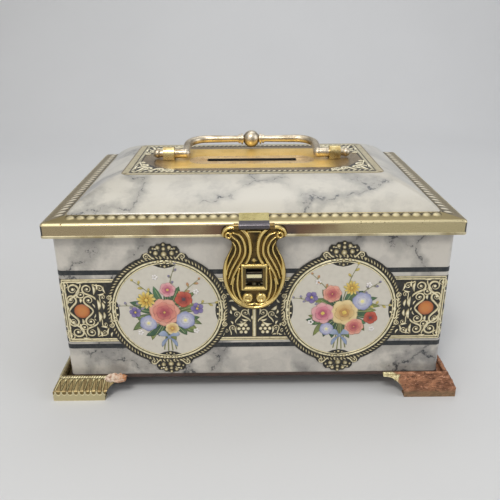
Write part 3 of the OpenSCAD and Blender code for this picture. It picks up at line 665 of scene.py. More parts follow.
# ==== roundels ===============================================================
# Two on each long wall and one on each end: a cream field in a frame of gold lines
# and a rope of slanting leaves, with a crest of beads and volutes above and below.

FIELD_R = 21.0
ROPE_IN = 22.5
ROPE_OUT = 24.3
ROPE_LEAVES = 104
ROPE_SLANT = 0.75
ROPE_LEAF = (1.08, 0.38)
LEAF_TINTS = (GROUND, GROUND, SHADE, MIDDLE, BRIGHT)
FRAME_LIFT = 0.3


def spun(patch):
    """A flat patch turned half round."""
    return (patch[0] * [-1, -1, 1],) + patch[1:]


def hoop(r_mid, half_width, height, tints):
    """A round rib: the arch of a ribbon carried round a circle."""
    return ribbon(r_mid * unit(np.linspace(0, 2 * math.pi, 97)), half_width, height, tints)


# Beads of the crest's right half: along, up, radius and height.
CREST_BEADS = ((0, 28.6, 0.8, 0.5), (2.2, 27.4, 1.05, 0.6), (0, 26.9, 0.95, 0.6), (4.1, 27.0, 0.6, 0.5),
               (3.1, 25.1, 1.2, 0.7), (0, 24.7, 1.45, 0.8), (1.4, 22.9, 0.6, 0.5),
               (2.4, 21.5, 1.0, 0.6), (0, 21.3, 0.95, 0.65), (0, 19.5, 0.7, 0.5), (5.0, 25.6, 0.6, 0.5),
               (4.4, 21.4, 0.6, 0.5), (1.5, 19.9, 0.4, 0.4), (8.6, 22.0, 0.6, 0.5))


def crest():
    """Beads piled on a dark mound between two volutes, rising from the frame."""
    half = np.array([[0, 18.5], [2.6, 19.0], [4.2, 19.8], [9.2, 20.6], [9.6, 22.6], [8.4, 24.6],
                     [6.2, 25.0], [6.0, 26.6], [5.0, 27.9], [3.4, 27.8], [2.6, 28.8], [1.2, 28.8],
                     [0, 29.5]])
    mound = np.concatenate([half, half[-2:0:-1] * [-1, 1]])
    made = [slab(mound, GROUND, -0.03, (1, 0.1), (0.93, 0.2), (0, 0.24))]
    for along, up, r, lift in CREST_BEADS:
        for at in (along, -along) if along else (0,):
            made.append(bead(at, up, r, lift=lift, tints=(SHADE, GROUND, SHADE, MIDDLE, BRIGHT)))
    for side in (-1, 1):
        made += [moved(p, lift=0.16) for p in crook((side * 3.8, 22.8), (side * 6.9, 23.7), side, 0.12)]
        made.append(leaf((side * 1.2, 26.0), (side * 4.4, 26.6), 0.4, curve=0.2 * side))
    return made


def side_clip():
    """A dark clasp that bites into the field at the middle of its side, with two curls."""
    made = [slab(oval(-21.4, 0, 2.3, 5.6, steps=24), GROUND, -0.03, (1, 0.12), (0.9, 0.2), (0, 0.22))]
    for lower in (1, -1):
        curls = crooks((((-23.2, 0.5 * lower), (-21.4, 3.3 * lower), lower),
                        ((-22.8, 3.4 * lower), (-22.9, 6.2 * lower), -lower)), 0.13)
        made += [moved(p, lift=0.18) for p in curls]
        made.append(bead(-20.1, 1.5 * lower, 0.5, lift=0.5))
    made.append(bead(-21.6, 0, 0.8, 1.1, lift=0.5))
    return made


def roundel():
    """The frame, centred on the origin of a wall's own plane."""
    disc = oval(0, 0, 1, 1, steps=96)
    made = [slab(disc * (ROPE_OUT + 0.5), GROUND, -0.03, (1, 0.08), (0.85, 0.1), (0, 0.1)),
            slab(disc * FIELD_R, "CDC8BC", 0.05, (1, 0.13), (0, 0.13)),
            hoop(20.8, 0.3, 0.3, ("5F5740", "C9BE92", "F2E8C4", "C9BE92", "5F5740", SHADE)),
            hoop(21.75, 0.46, 0.42, ("5F5740", "CDC295", "F6EED0", "CDC295", "5F5740", SHADE))]
    for angle in circle(ROPE_LEAVES):
        at = (ROPE_IN + ROPE_OUT) / 2 * unit(angle)
        made.append(bead(*at, *ROPE_LEAF, angle + ROPE_SLANT, 0.42, LEAF_TINTS))
    halves = crest() + side_clip()
    return made + halves + [spun(p) for p in halves]


ROUNDELS = (("front_left", "front", -ROUNDEL_AT), ("front_right", "front", ROUNDEL_AT),
            ("back_left", "back", -ROUNDEL_AT), ("back_right", "back", ROUNDEL_AT),
            ("end_left", "left", 0.0), ("end_right", "right", 0.0))
roundel_patches = [moved(p, lift=FRAME_LIFT) for p in roundel()]
for name, wall, along in ROUNDELS:
    placed = [on_wall(moved(p, along, BAND_MID), wall) for p in roundel_patches]
    framed = make("roundel_" + name, placed, [gold_print, ink], sharp=60)
    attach(framed, "box")


# ==== posies =================================================================
# A loose posy of garden flowers fills each cream field. The blooms and leaves are
# transfers: ink in thin layers, each petal paler at its lip than at its root.

LEAF_GREENS = ("4C7048", "3A5F46", "6C7F4C", "568058", "86904F")
LEAVES = 24
STALK = "7C7F50"
BOW_FOLD = "7888A8"
BLOOM_LIFT = 0.12


def petal(root, tip, width, root_tint, tip_tint, level, curve=0.0, blunt=0.65):
    """A petal from root to tip: half width is a sine pushed towards the lip; tint runs
    from root to lip, and the rim is a shade darker.
    """
    profile = ((0, 0.0), (1, 0.0), (1, 0.03), (0.8, 0.05), (0.4, 0.07), (0, 0.08))
    outline = blade(root, tip, width, curve, 0.9 / blunt, 0.75)
    points, quads, _, _ = relief(outline, profile, (tip_tint,) * len(profile))
    reach = np.subtract(tip, root)
    along = np.clip(((points[..., :2] - root) @ reach) / (reach @ reach), 0, 1)[..., None]
    tints = (1 - along) * linear(root_tint) + along * linear(tip_tint)
    tints[1:3, :, :3] *= 0.62
    return points + [0, 0, level], quads, tints.reshape(-1, 4), 0


def bloom(along, up, r, flower, phase):
    """Rings of overlapping petals, each ring shorter and higher than the one before, round an eye."""
    (eye_r, rim_tint, mid_tint), *rings = flower
    made = []
    for k, (count, inner, outer, width, root_tint, tip_tint) in enumerate(rings):
        for i in range(count):
            angle = phase + 2 * math.pi * (i + 0.5 * k) / count
            root, tip = ([along, up] + unit(angle) * reach * r for reach in (inner, outer))
            made.append(petal(root, tip, width * r, root_tint, tip_tint,
                              BLOOM_LIFT + 0.035 * k + 0.004 * (i % 3), curve=0.08))
    outline = oval(along, up, eye_r * r, eye_r * r, steps=12)
    eye = relief(outline, ((0, 0), (1, 0), (0.8, 0.14), (0, 0.17)), (rim_tint,) * 2 + (mid_tint,) * 2)
    return made + [moved(eye, lift=BLOOM_LIFT)]


GOLD_EYE = (0.2, "8A6A2C", "D8BC5C")
DARK_EYE = (0.24, "3A2A34", "5C4650")
PALE_EYE = (0.2, "B0A458", "E8E0A0")
# A flower: its eye's radius and tints, then each ring's count, reach from and to, width and tints.
GARDEN_ROSE = (GOLD_EYE, (7, 0.15, 1.0, 0.42, "C98478", "E3A893"),
               (6, 0.1, 0.78, 0.36, "B8625F", "DB9582"), (5, 0.05, 0.55, 0.3, "9E4450", "CC7A72"),
               (4, 0.0, 0.32, 0.2, "8C3848", "B85C62"))
PINK_ROSE = (GOLD_EYE, (6, 0.15, 1.0, 0.44, "C77888", "E0B0AE"),
             (5, 0.08, 0.7, 0.36, "B85C74", "D68F98"), (4, 0.0, 0.4, 0.24, "96405C", "C06A80"))
BLUE_PRIMULA = (PALE_EYE, (6, 0.12, 1.0, 0.48, "D8D6DC", "7E86B4"),
                (5, 0.05, 0.5, 0.28, "E4E0D0", "A2A6C6"))
YELLOW_DAISY = (GOLD_EYE, (11, 0.2, 1.0, 0.17, "C8A23A", "E2CF7C"),
                (9, 0.1, 0.7, 0.14, "B98A30", "D8B858"))
RED_POPPY = (DARK_EYE, (5, 0.1, 1.0, 0.5, "8E3A30", "C8604A"), (4, 0.05, 0.6, 0.36, "7A2E2C", "B44C40"))
CREAM_ROSE = (GOLD_EYE, (7, 0.15, 1.0, 0.42, "C9A45C", "E6D4A4"),
              (5, 0.08, 0.7, 0.36, "B88A48", "DCC088"), (4, 0.0, 0.38, 0.24, "A06C38", "C8A060"))
VIOLET = (GOLD_EYE, (5, 0.1, 1.0, 0.42, "584A86", "8E80B0"))


def spray(along, up, tilt, length, tint, level, rng):
    """A bowed stalk with small buds on alternate sides."""
    t = np.linspace(0, 1, 14)
    way = np.array([math.sin(tilt), math.cos(tilt)])
    side = np.array([way[1], -way[0]])
    bow = 0.16 * length * (1 if tilt >= 0 else -1)
    path = np.array([along, up]) + t[:, None] * length * way + (bow * t ** 2)[:, None] * side
    made = [moved(ribbon(path, 0.16 * (1.15 - 0.7 * t), 0.06, (STALK,) * 6), lift=level)]
    for k in range(5):
        at = path[13 - 2 * k]
        out = way * 0.8 + side * (1 if k % 2 else -1) * (0.9 if k else 0.0)
        made.append(petal(at, at + out * rng.uniform(1.1, 1.6), 0.42, "8C8C50", tint, level + 0.05))
    return made


def posy(kind, seed):
    """Leaves first, then sprays, stalks and a bow, then blooms on top; kind sets which and where."""
    rng = np.random.default_rng(seed)
    made = []
    for k in range(LEAVES):
        angle = 2 * math.pi * k / LEAVES + rng.uniform(-0.12, 0.12)
        root = [0, -1.5] + unit(angle) * 3.0
        tip = root + unit(angle) * rng.uniform(5.4, 9.6) * [1.15, 0.85]
        green = LEAF_GREENS[rng.integers(len(LEAF_GREENS))]
        made.append(petal(root, tip, rng.uniform(1.0, 1.5), "2F4636", green, 0.02 + 0.01 * (k % 4),
                          curve=rng.uniform(-0.15, 0.15), blunt=0.85))
        made.append(ribbon(np.linspace(root, root + 0.8 * (tip - root), 5), 0.09, 0.16,
                           ("A8B07C",) * 6))
    for tilt, length, tint in kind["sprays"]:
        made += spray(2.5 * math.sin(tilt), 2.0 * math.cos(tilt), tilt, length, tint, 0.06, rng)
    for tilt in (-0.35, -0.1, 0.16, 0.4):
        foot = np.array([5.5 * math.sin(tilt), -15.2 + 2.0 * abs(tilt)])
        stalk = ribbon(np.linspace((tilt, -5.0), foot, 8), 0.2, 0.08, (STALK,) * 6)
        made.append(moved(stalk, lift=0.05))
    for side in (-1, 1):
        made.append(petal((0, -9.6), (side * 3.6, -8.6), 1.1, BOW_FOLD, "A8B4C8", 0.12, 0.2 * side))
        made.append(petal((0, -9.8), (side * 2.6, -13.4), 0.6, BOW_FOLD, "94A2BC", 0.11, 0.1 * side))
    made.append(bead(0, -9.7, 0.7, lift=0.22, tints=("5C6C8C",) * 2 + ("8494B0",) * 3))
    for row in kind["blooms"]:
        made += bloom(*row, rng.uniform(0, 1))
    for along, up in kind["specks"]:
        made += [bead(*([along, up] + 0.62 * unit(angle)), 0.42, lift=0.2,
                      tints=("9C9CB0",) * 2 + ("E4E0DC",) * 3) for angle in circle(5)]
    return made


POSY_A = {"blooms": ((-1.0, -0.5, 5.2, GARDEN_ROSE), (5.6, -3.4, 3.3, BLUE_PRIMULA),
                     (-6.4, -4.4, 3.0, BLUE_PRIMULA), (5.4, 4.2, 3.0, RED_POPPY),
                     (-6.6, 4.0, 3.2, YELLOW_DAISY), (0.4, 7.6, 2.7, PINK_ROSE),
                     (9.6, 0.8, 2.2, VIOLET), (-10.4, -0.4, 2.0, VIOLET), (1.2, -6.4, 2.4, CREAM_ROSE)),
          "sprays": ((-0.62, 12.5, "D8C06A"), (0.05, 14.2, "7A74A6"), (0.6, 12.6, "C98C6C"),
                     (1.25, 12.8, "D0BC70"), (-1.3, 12.4, "8E88B4")),
          "specks": ((9.0, -7.4), (-9.2, -8.0), (9.4, 6.8), (-3.4, 12.0))}
POSY_B = {"blooms": ((1.2, -1.2, 4.8, CREAM_ROSE), (-5.8, -1.4, 4.0, PINK_ROSE),
                     (6.8, 2.8, 3.4, BLUE_PRIMULA), (-3.0, 5.6, 3.2, GARDEN_ROSE),
                     (4.6, -6.4, 3.3, GARDEN_ROSE), (3.2, 7.6, 2.6, YELLOW_DAISY),
                     (-9.6, 4.4, 2.2, VIOLET), (-4.4, -7.2, 2.4, BLUE_PRIMULA), (9.8, -3.2, 2.4, RED_POPPY)),
          "sprays": ((-0.5, 13.2, "C98C6C"), (0.15, 14.0, "D8C06A"), (0.75, 12.4, "7A74A6"),
                     (1.35, 12.6, "D8C06A"), (-1.15, 12.8, "8E88B4")),
          "specks": ((8.6, 8.6), (-9.6, -4.6), (10.4, -7.4), (-7.6, 9.8))}
FIELD_LIFT = FRAME_LIFT + 0.13
POSY_SIZE = 1.24
for seed, (name, wall, along) in enumerate(ROUNDELS):
    flowers = [moved(p, along, BAND_MID, POSY_SIZE, FIELD_LIFT)
               for p in posy(POSY_B if seed % 2 else POSY_A, seed + 3)]
    picture = make("posy_" + name, [on_wall(p, wall) for p in flowers], [ink])
    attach(picture, "box")


# ==== base, staple, pins and rivets ==========================================
# The bottom is plain tin, dip-coated dark. The staple is a bent brass strip painted dark as
# shade, with a band of painted highlight across it where the hasp passes. Pins and rivets are
# drawn steel wire, a little grey, and the hinge's leaves are rolled brass.

STAPLE_HIGHLIGHT_Z = 54.7
STAPLE_HIGHLIGHT_HALF = 0.6


def metal(name, tone, dull, roughness, grain_mm, mottle_mm, depth_mm=0.02, shine=1.0,
          low=0.42, high=0.7):
    """Plain sheet metal: two tones in clouds mottle_mm across, and fine scuffs grain_mm apart."""
    material, node, place = finish(name, Metallic=shine)
    cloud = node("TexNoise", place, 1000 / mottle_mm, 5.0, 0.6)
    stain = node("MapRange SMOOTHSTEP", cloud, low, high)
    scuff = node("TexNoise", place, 1000 / grain_mm, 3.0)
    paint(material, Base_Color=node("Mix RGBA", stain, tone, dull),
          Roughness=node("MapRange", scuff, 0.3, 0.75, roughness * 0.75, roughness * 1.45),
          Normal=node("Bump", Height=scuff, Strength=0.25, Distance=depth_mm * MM))
    return material


def axes(material):
    """What adds a node to a material, and its Object coordinates by name: X, Y and Z."""
    node = partial(add, material.node_tree)
    return node, node("SeparateXYZ", node("TexCoord", out="Object")).node.outputs


dress(metal("dark_dipped_tin", "54423C", "3A302C", 0.5, 0.8, 9.0, shine=0.3), "base_panel")
dress(metal("drawn_steel_wire", "A9A69F", "6E6A64", 0.34, 0.4, 2.0),
      "hinge_pin", "hasp_pin", "foot_rivets", "body_hinge_rivets", "lid_hinge_rivets")
dress(metal("rolled_hinge_brass", "BBA468", "7C6940", 0.32, 0.5, 5.0),
      "body_hinge_leaf", "lid_hinge_leaf")
staple_shade_and_highlight = metal("staple_brass_painted_shade_and_highlight", "3C372F", "2A2620", 0.3, 0.6, 3.0)
node, at = axes(staple_shade_and_highlight)
# A pale band of painted highlight across the staple's top, over its dark painted shade.
near = node("Math ABSOLUTE", node("Math SUBTRACT", at["Z"], STAPLE_HIGHLIGHT_Z * MM))
cover(staple_shade_and_highlight, node("MapRange", near, STAPLE_HIGHLIGHT_HALF * MM, (STAPLE_HIGHLIGHT_HALF + 0.25) * MM, 1.0, 0.0), "F6ECC0")
dress(staple_shade_and_highlight, "staple")


# ==== feet ===================================================================
# Four pressed corner feet of gilt tin: a knurled band, then a flared face of flutes with
# scalloped lower ends, under a rope rim. The front right one has rusted through its gilt,
# and corrosion has swollen the wing tip of the front left one.

FOOT_KNEE_OUT = 6.1
FOOT_KNEE_Z = 4.8
FACE_TOP_OUT = 3.29
FACE_TOP_Z = 9.2
FACE_RUN = FOOT_KNEE_OUT - FACE_TOP_OUT
FACE_RISE = FACE_TOP_Z - FOOT_KNEE_Z
FACE_LEN = math.hypot(FACE_RUN, FACE_RISE)
FLUTES = 8
FLUTE_LOW = (-5.5, 14.0)
FLUTE_HIGH = (-3.1, 15.2)
ROPE_AT = (3.45, 9.3)
ROPE_R = 0.72
ROPE_TURN = 2.1
ROPE_REACH = 22.4
ROPE_GRID = (113, 12)
FLUTE_ENDS_Z = 2.5
GILT_DEEP = "4A3E24"
CRUST_REACH = 14.2
CRUST_GRID = (30, 110)
GILT_BELOW_X = 59.5
KHAKI_Z = 2.2
SWELLING_AT = (19.3, 8.9, 3.5)
SWELLING = (4.9, 2.0, 1.4)
SWELLING_GRID = (29, 48)

FACE = ((0, -FOOT_KNEE_OUT, FOOT_KNEE_Z),
        ((1, 0, 0), (0, FACE_RUN / FACE_LEN, FACE_RISE / FACE_LEN),
         (0, -FACE_RISE / FACE_LEN, FACE_RUN / FACE_LEN)))
UPRIGHT = ((0, 0, 0), ((1, 0, 0), (0, 0, 1), (0, -1, 0)))


def on_foot(patch, ground, x_side, y_side, end_wing):
    """Lays a flat patch on a foot's wing: on the front left one, then mirrored into place."""
    origin, ways = ground
    points = patch[0] @ np.array(ways, float) + np.array(origin, float)
    if end_wing:
        points = points[..., [1, 0, 2]]
    points = points * [-x_side, -y_side, 1.0]
    points = points + [x_side * BODY_W / 2, y_side * BODY_D / 2, 0.0]
    turns = int(end_wing) + int(x_side > 0) + int(y_side > 0)
    quads = patch[1][:, ::-1] if turns % 2 else patch[1]
    return (points, quads) + patch[2:]


def flutes():
    """Ridges between flutes, fanned a little, joined over each flute by half a circle."""
    made = []
    pitch = (FLUTE_LOW[1] - FLUTE_LOW[0]) / FLUTES
    for k in range(FLUTES):
        spin = np.linspace(math.pi, 2 * math.pi, 9)
        along = np.concatenate([[k], k + 0.5 - 0.5 * np.cos(spin - math.pi), [k + 1]]) / FLUTES
        up = np.concatenate([[0.05], FACE_LEN - 1.5 - 0.5 * pitch * np.sin(spin), [0.05]])
        low = FLUTE_LOW[0] + along * (FLUTE_LOW[1] - FLUTE_LOW[0])
        high = FLUTE_HIGH[0] + along * (FLUTE_HIGH[1] - FLUTE_HIGH[0])
        path = np.stack([low + (high - low) * np.clip(up / FACE_LEN, 0, 1), up], -1)
        made.append(ribbon(path, 0.36, 0.34, (GILT_DEEP, "A89A6A", "DDD2A4", "A89A6A", GILT_DEEP, SHADE)))
    return made


def rim_rope():
    """A twisted cord along the rim: its radius swells twice a turn, and the swelling winds on."""
    s = np.linspace(-FACE_TOP_OUT, ROPE_REACH, ROPE_GRID[0])[:, None]
    spin = circle(ROPE_GRID[1])
    twist = np.abs(np.cos(spin - 2 * math.pi * s / ROPE_TURN))
    ease = np.sqrt(np.clip(np.minimum(s - s[0], s[-1] - s) / 0.6, 0, 1))
    r = ROPE_R * (0.72 + 0.28 * twist) * ease
    points = grid(s, ROPE_AT[1] + r * np.sin(spin), ROPE_AT[0] + r * np.cos(spin))
    shine = np.clip(twist - 0.25, 0, 1)[..., None] / 0.75
    tints = (1 - shine) * linear(GILT_DEEP) + shine * linear("E6DCB2")
    return points, grid_quads(*ROPE_GRID, loop_cols=True)[:, ::-1], tints.reshape(-1, 4), 0


def lumps(along, up, seed, size):
    """Smooth lumps: a sum of twelve crossed waves of random direction and phase, from 0 to 1."""
    rng = np.random.default_rng(seed)
    total = 0
    for _ in range(12):
        turn, phase = rng.uniform(0, 2 * math.pi, 2)
        wave = 2 * math.pi / (size * (0.4 + 0.9 * rng.random()))
        total = total + np.sin(wave * (along * math.cos(turn) + up * math.sin(turn)) + phase)
    return np.clip(0.5 + total / 9, 0, 1)


def rust_crust(seed):
    """Scale standing on the flared face: a lumpy skin whose rim sinks into the metal."""
    u = np.linspace(0, 1, CRUST_GRID[1])
    v = np.linspace(0, 1, CRUST_GRID[0])[:, None]
    up = v * (FACE_LEN + 0.2) - 0.1
    along = -(FOOT_KNEE_OUT - 0.2 - v * FACE_RUN) + u * (CRUST_REACH + FOOT_KNEE_OUT - v * FACE_RUN)
    rise = 0.1 + 0.42 * lumps(along, 2.0 * up, seed, 2.0) * lumps(along, up, seed + 1, 5.0) ** 0.5
    edge = np.minimum(1, np.minimum(np.minimum(u, 1 - u) * 14, np.minimum(v, 1 - v) * 7))
    lift = rise * edge - 0.12 * (1 - edge)
    return grid(along, up, lift), grid_quads(*CRUST_GRID), linear("8A5A3E"), 1


def swelling():
    """Corrosion on a wing's tip: a lumpy ellipsoid, chalky pink near the corner, orange past it."""
    lat = np.linspace(-math.pi / 2, math.pi / 2, SWELLING_GRID[0])[:, None]
    lon = circle(SWELLING_GRID[1])
    x, y, z = np.sin(lat) + 0 * lon, np.cos(lat) * np.cos(lon), np.cos(lat) * np.sin(lon)
    bulge = 0.8 + 0.5 * lumps(x * 4 + z, y * 3, 5, 3.0) * np.cos(lat) ** 0.5
    points = np.array(SWELLING_AT) + np.array(SWELLING) * np.stack([x, y, z], -1) * bulge[..., None]
    mix = np.clip(0.08 + 0.9 * x + 0.8 * (lumps(x * 4, y * 2 + z, 8, 2.0) - 0.5), 0, 1)[..., None]
    tints = (1 - mix) * linear("E0CDBA") + mix * linear("C08458")
    return points, grid_quads(*SWELLING_GRID, loop_cols=True), tints.reshape(-1, 4), 2


# Gilt tin, dulled olive, with brown stain in clouds. On the upright band the flutes are only
# painted, running on down to round ends: pale ridges and end lines as painted highlights and
# darker tin between them as painted shade, with a bump to match. hump is 0 on a ridge and 1
# midway between two; over is the height over the flutes' ends.
gilt = metal("gilt_tin_foot", "8C7D5A", "68573C", 0.4, 0.9, 4.0, 0.12)
node = partial(add, gilt.node_tree)
size = node("VectorMath ABSOLUTE", node("TexCoord", out="Object"))
way = node("VectorMath ABSOLUTE", node("TexCoord", out="Normal"))
spot = node("SeparateXYZ", size).node.outputs
face = node("SeparateXYZ", way).node.outputs
marks = [node("Math SUBTRACT", (half - FLUTE_LOW[0]) * MM, spot[axis])
         for axis, half in ((0, BODY_W / 2), (1, BODY_D / 2))]
along = node("Mix", node("Math GREATER_THAN", face[0], face[1]), *marks)
turns = math.pi * FLUTES / ((FLUTE_LOW[1] - FLUTE_LOW[0]) * MM)
wave = node("Math SINE", node("Math MULTIPLY", along, turns))
hump = node("Math ABSOLUTE", wave)
sag = node("MapRange", hump, 0.0, 1.0, (FLUTE_ENDS_Z + 1.1) * MM, FLUTE_ENDS_Z * MM)
over = node("Math SUBTRACT", spot[2], sag)
ridge = node("MapRange", hump, 0.25, 0.6, 1.0, 0.0)
line = node("MapRange", over, 0.25 * MM, 0.6 * MM, 1.0, 0.0)
raised = node("Math MAXIMUM", ridge, line)
worked = node("Math GREATER_THAN", over, -0.2 * MM)
below = node("MapRange", over, -0.35 * MM, -0.1 * MM, 0.66, 0.0)
plain = node("Math MAXIMUM", node("Math MULTIPLY", raised, worked), below)
upright = node("MapRange", node("Math GREATER_THAN", face[2], 0.3), 0.0, 1.0, 1.0, 0.0)
# On the upright band: painted highlights on the flutes' ridges and end lines, painted shade between them.
cover(gilt, upright, node("Mix RGBA", plain, "8A7850", "EEE4BC"))
scuffs = gilt.node_tree.nodes["Principled BSDF"].inputs["Normal"].links[0].from_socket
paint(gilt, Normal=node("Bump", Height=plain, Strength=0.6, Distance=0.4 * MM, Normal=scuffs))
ridge_gilt = tinted("gilt_tin_ridges", 260.0, 4.0, 0.48, 0.75, 0.6, "7A6844",
                    Metallic=0.7, Roughness=0.32)

# Corrosion: matt and chalky, its colour the piece's own, crumbled finely and browner in its pits.
chalk, node, place = finish("corrosion_swelling", Roughness=0.92)
crumb = node("TexNoise", place, 650.0, 4.0)
pits = node("MapRange", crumb, 0.34, 0.52, 0.75, 0.0)
paint(chalk, Base_Color=node("Mix RGBA", pits, node("Attribute tint"), "9A6240"),
      Normal=node("Bump", Height=crumb, Strength=0.8, Distance=0.0003))

# Rust scale: brown crumbs drawn out sideways, with pale specks and dark pits. On the foot
# itself the gilt is left at the wing's tip, and the lowest band is brown khaki.
rust, node, place = finish("rusted_tin_foot")
drawn = node("Mapping", place, Scale=(1.0, 1.0, 2.2))
crumb = node("TexNoise", drawn, 420.0, 6.0, 0.75, Distortion=1.0)
patch = node("TexNoise", drawn, 150.0, 4.0, Distortion=1.2)
warm = node("Mix RGBA", node("MapRange", patch, 0.35, 0.65), "7A5038", "B98260")
pale = node("MapRange", crumb, 0.56, 0.64, 0.0, 0.9)
speckled = node("Mix RGBA", pale, warm, "DDA98C")
pit = node("MapRange SMOOTHSTEP", crumb, 0.38, 0.48)
scale = node("Mix RGBA", pit, "4A3024", speckled)
x, _, z = node("SeparateXYZ", place).node.outputs
band = node("MapRange", z, KHAKI_Z * MM, (KHAKI_Z + 1.2) * MM, 0.6, 0.0)
khaki = node("Mix RGBA", band, scale, "8A7656")
reach = node("Math", x, node("Math MULTIPLY", patch, 0.012))
eaten = node("MapRange SMOOTHSTEP", reach, (GILT_BELOW_X + 5.0) * MM, (GILT_BELOW_X + 7.0) * MM)
gold = node("Mix RGBA", node("MapRange", crumb, 0.5, 0.58), "EFE3B4", "8C7440")
paint(rust, Base_Color=node("Mix RGBA", eaten, gold, khaki),
      Metallic=node("MapRange", eaten, 0.0, 1.0, 0.9, 0.0),
      Roughness=node("MapRange", eaten, 0.0, 1.0, 0.3, 0.85),
      Normal=node("Bump", Height=crumb, Strength=1.0, Distance=0.0009))

FEET = (("front_left", -1, -1), ("front_right", 1, -1), ("rear_left", -1, 1), ("rear_right", 1, 1))
for name, x_side, y_side in FEET:
    eaten_away = name == "front_right"
    dress(rust if eaten_away else gilt, "foot_" + name)
    patches = []
    for end_wing in (False, True):
        if eaten_away:
            patches.append(on_foot(rust_crust(11), FACE, x_side, y_side, end_wing))
        else:
            patches += [on_foot(p, FACE, x_side, y_side, end_wing) for p in flutes()]
            patches.append(on_foot(rim_rope(), UPRIGHT, x_side, y_side, end_wing))
    if name == "front_left":
        patches.append(on_foot(swelling(), UPRIGHT, x_side, y_side, False))
    pressed = make("foot_face_" + name, patches, [ridge_gilt, rust, chalk])
    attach(pressed, "box")


# ==== lid ====================================================================
# One pressing. A brass-printed skirt and border band, a marble dome, and a gold flat
# top that dips to a land round the coin slot, whose lips are turned down.

LID_HALF_W = 80.0
LID_HALF_D = 57.0
SKIRT_Z = 71.0
EDGE_Z = 76.5
EDGE_R = 0.8
HEM_OUT = 0.2
BAND_W = 6.3
END_BAND_W = 8.6
DOME_Z = 78.1
DOME_RISE = 9.5
DOME_POWER = 1.3
TOP_Z = 87.6
PLATE_HALF_W = 54.5
PLATE_HALF_D = 28.6
DISH_HALF_W = 43.0
DISH_HALF_D = 18.5
PRINT_HALF_W = 28.4
PRINT_HALF_D = 7.6
LAND_HALF_W = 30.0
LAND_HALF_D = 9.0
LAND_Z = 86.7
SLOT_HALF = (20.0, 2.3)
LIP = 1.4
TIN_T = 0.4
SKIRT_DARK_REFLECTION = (13.0, 18.0)
SKIRT_BROWN_REFLECTION = 42.0
DISH_SHADE_SPAN = (31.0, 38.0)
HEM, SKIRT, EDGE, BAND, MARBLE, CHAMPAGNE, LACQUER, LAND, LIPS, BARE = range(10)


def dome_rings(angles, sheet, drop, slot):
    """Rings of the dome at angles of its quarter superellipse: its run and rise follow cosine
    and sine to a power. sheet is taken off its size and drop off its height.
    """
    wide, deep = LID_HALF_W - END_BAND_W, LID_HALF_D - BAND_W
    made = []
    for t in np.radians(angles):
        run, rise = 1 - math.cos(t) ** (2 / DOME_POWER), math.sin(t) ** (2 / DOME_POWER)
        made.append((wide - sheet - (wide - PLATE_HALF_W) * run,
                     deep - sheet - (deep - PLATE_HALF_D) * run,
                     1.2 + 2.4 * rise, DOME_Z - drop + DOME_RISE * rise, slot))
    return made


def lid_sections():
    """The lid's rings, from the hem's inside up over the outside to the slot and back underneath.

    Each is (half width, half depth, corner radius, height, finish of the strip after it).
    """
    w, d = LID_HALF_W, LID_HALF_D
    slope = (DOME_Z - EDGE_Z) / BAND_W
    slot_w, slot_d = SLOT_HALF
    rings = [(w + HEM_OUT, d + HEM_OUT, 1.7, SKIRT_Z, HEM),
             (w + HEM_OUT, d + HEM_OUT, 1.7, SKIRT_Z + 0.8, HEM),
             (w + 0.03, d + 0.03, 1.53, SKIRT_Z + 0.95, SKIRT), (w, d, 1.5, SKIRT_Z + 1.15, SKIRT)]
    for a in np.radians((0, 15, 30, 45, 60, 75)):
        inset = EDGE_R * (1 - math.cos(a))
        rings.append((w - inset, d - inset, 1.5 - inset,
                      EDGE_Z - EDGE_R * (1 - math.sin(a)) + slope * inset, EDGE))
    rings += [(w - EDGE_R, d - EDGE_R, 0.72, EDGE_Z + slope * EDGE_R, BAND)]
    rings += dome_rings(range(0, 90, 5), 0.0, 0.0, MARBLE)
    rings += [(PLATE_HALF_W, PLATE_HALF_D, 3.6, TOP_Z, CHAMPAGNE),
              (DISH_HALF_W, DISH_HALF_D, 12.0, TOP_Z, LACQUER),
              (LAND_HALF_W, LAND_HALF_D, 8.5, LAND_Z, LACQUER),
              (PRINT_HALF_W, PRINT_HALF_D, 7.2, LAND_Z, LAND),
              (slot_w + 0.25, slot_d + 0.25, 0.7, LAND_Z, LIPS),
              (slot_w + 0.07, slot_d + 0.07, 0.45, LAND_Z - 0.07, LIPS),
              (slot_w, slot_d, 0.3, LAND_Z - 0.25, LIPS),
              (slot_w, slot_d, 0.3, LAND_Z - LIP, LIPS),
              (slot_w + TIN_T, slot_d + TIN_T, 0.7, LAND_Z - LIP, BARE),
              (slot_w + TIN_T, slot_d + TIN_T, 0.7, LAND_Z - TIN_T, BARE),
              (LAND_HALF_W, LAND_HALF_D, 8.5, LAND_Z - TIN_T, BARE),
              (DISH_HALF_W, DISH_HALF_D, 12.0, TOP_Z - TIN_T, BARE),
              (PLATE_HALF_W, PLATE_HALF_D, 3.6, TOP_Z - TIN_T, BARE)]
    rings += dome_rings(range(75, 0, -15), TIN_T, 0.3, BARE)
    rings += [(w - END_BAND_W - TIN_T, d - BAND_W - TIN_T, 0.9, DOME_Z - TIN_T, BARE),
              (w - TIN_T - 0.2, d - TIN_T - 0.2, 0.9, EDGE_Z - TIN_T, BARE),
              (w - TIN_T, d - TIN_T, 1.1, EDGE_Z - EDGE_R, BARE),
              (w + HEM_OUT - TIN_T, d + HEM_OUT - TIN_T, 1.3, SKIRT_Z + 0.8, BARE),
              (w + HEM_OUT - TIN_T, d + HEM_OUT - TIN_T, 1.3, SKIRT_Z, BARE)]
    return rings + rings[:1]


sections = lid_sections()
lid_rings = np.stack([np.column_stack([round_box(hx, hy, r, 26), np.full(4 * (WALL_R_STEPS + 26), z)])
                      for hx, hy, r, z, _ in sections])
lid_paints = np.repeat([s[4] for s in sections[:-1]], lid_rings.shape[1])
lid_patch = (lid_rings, grid_quads(*lid_rings.shape[:2], loop_cols=True), None, lid_paints)
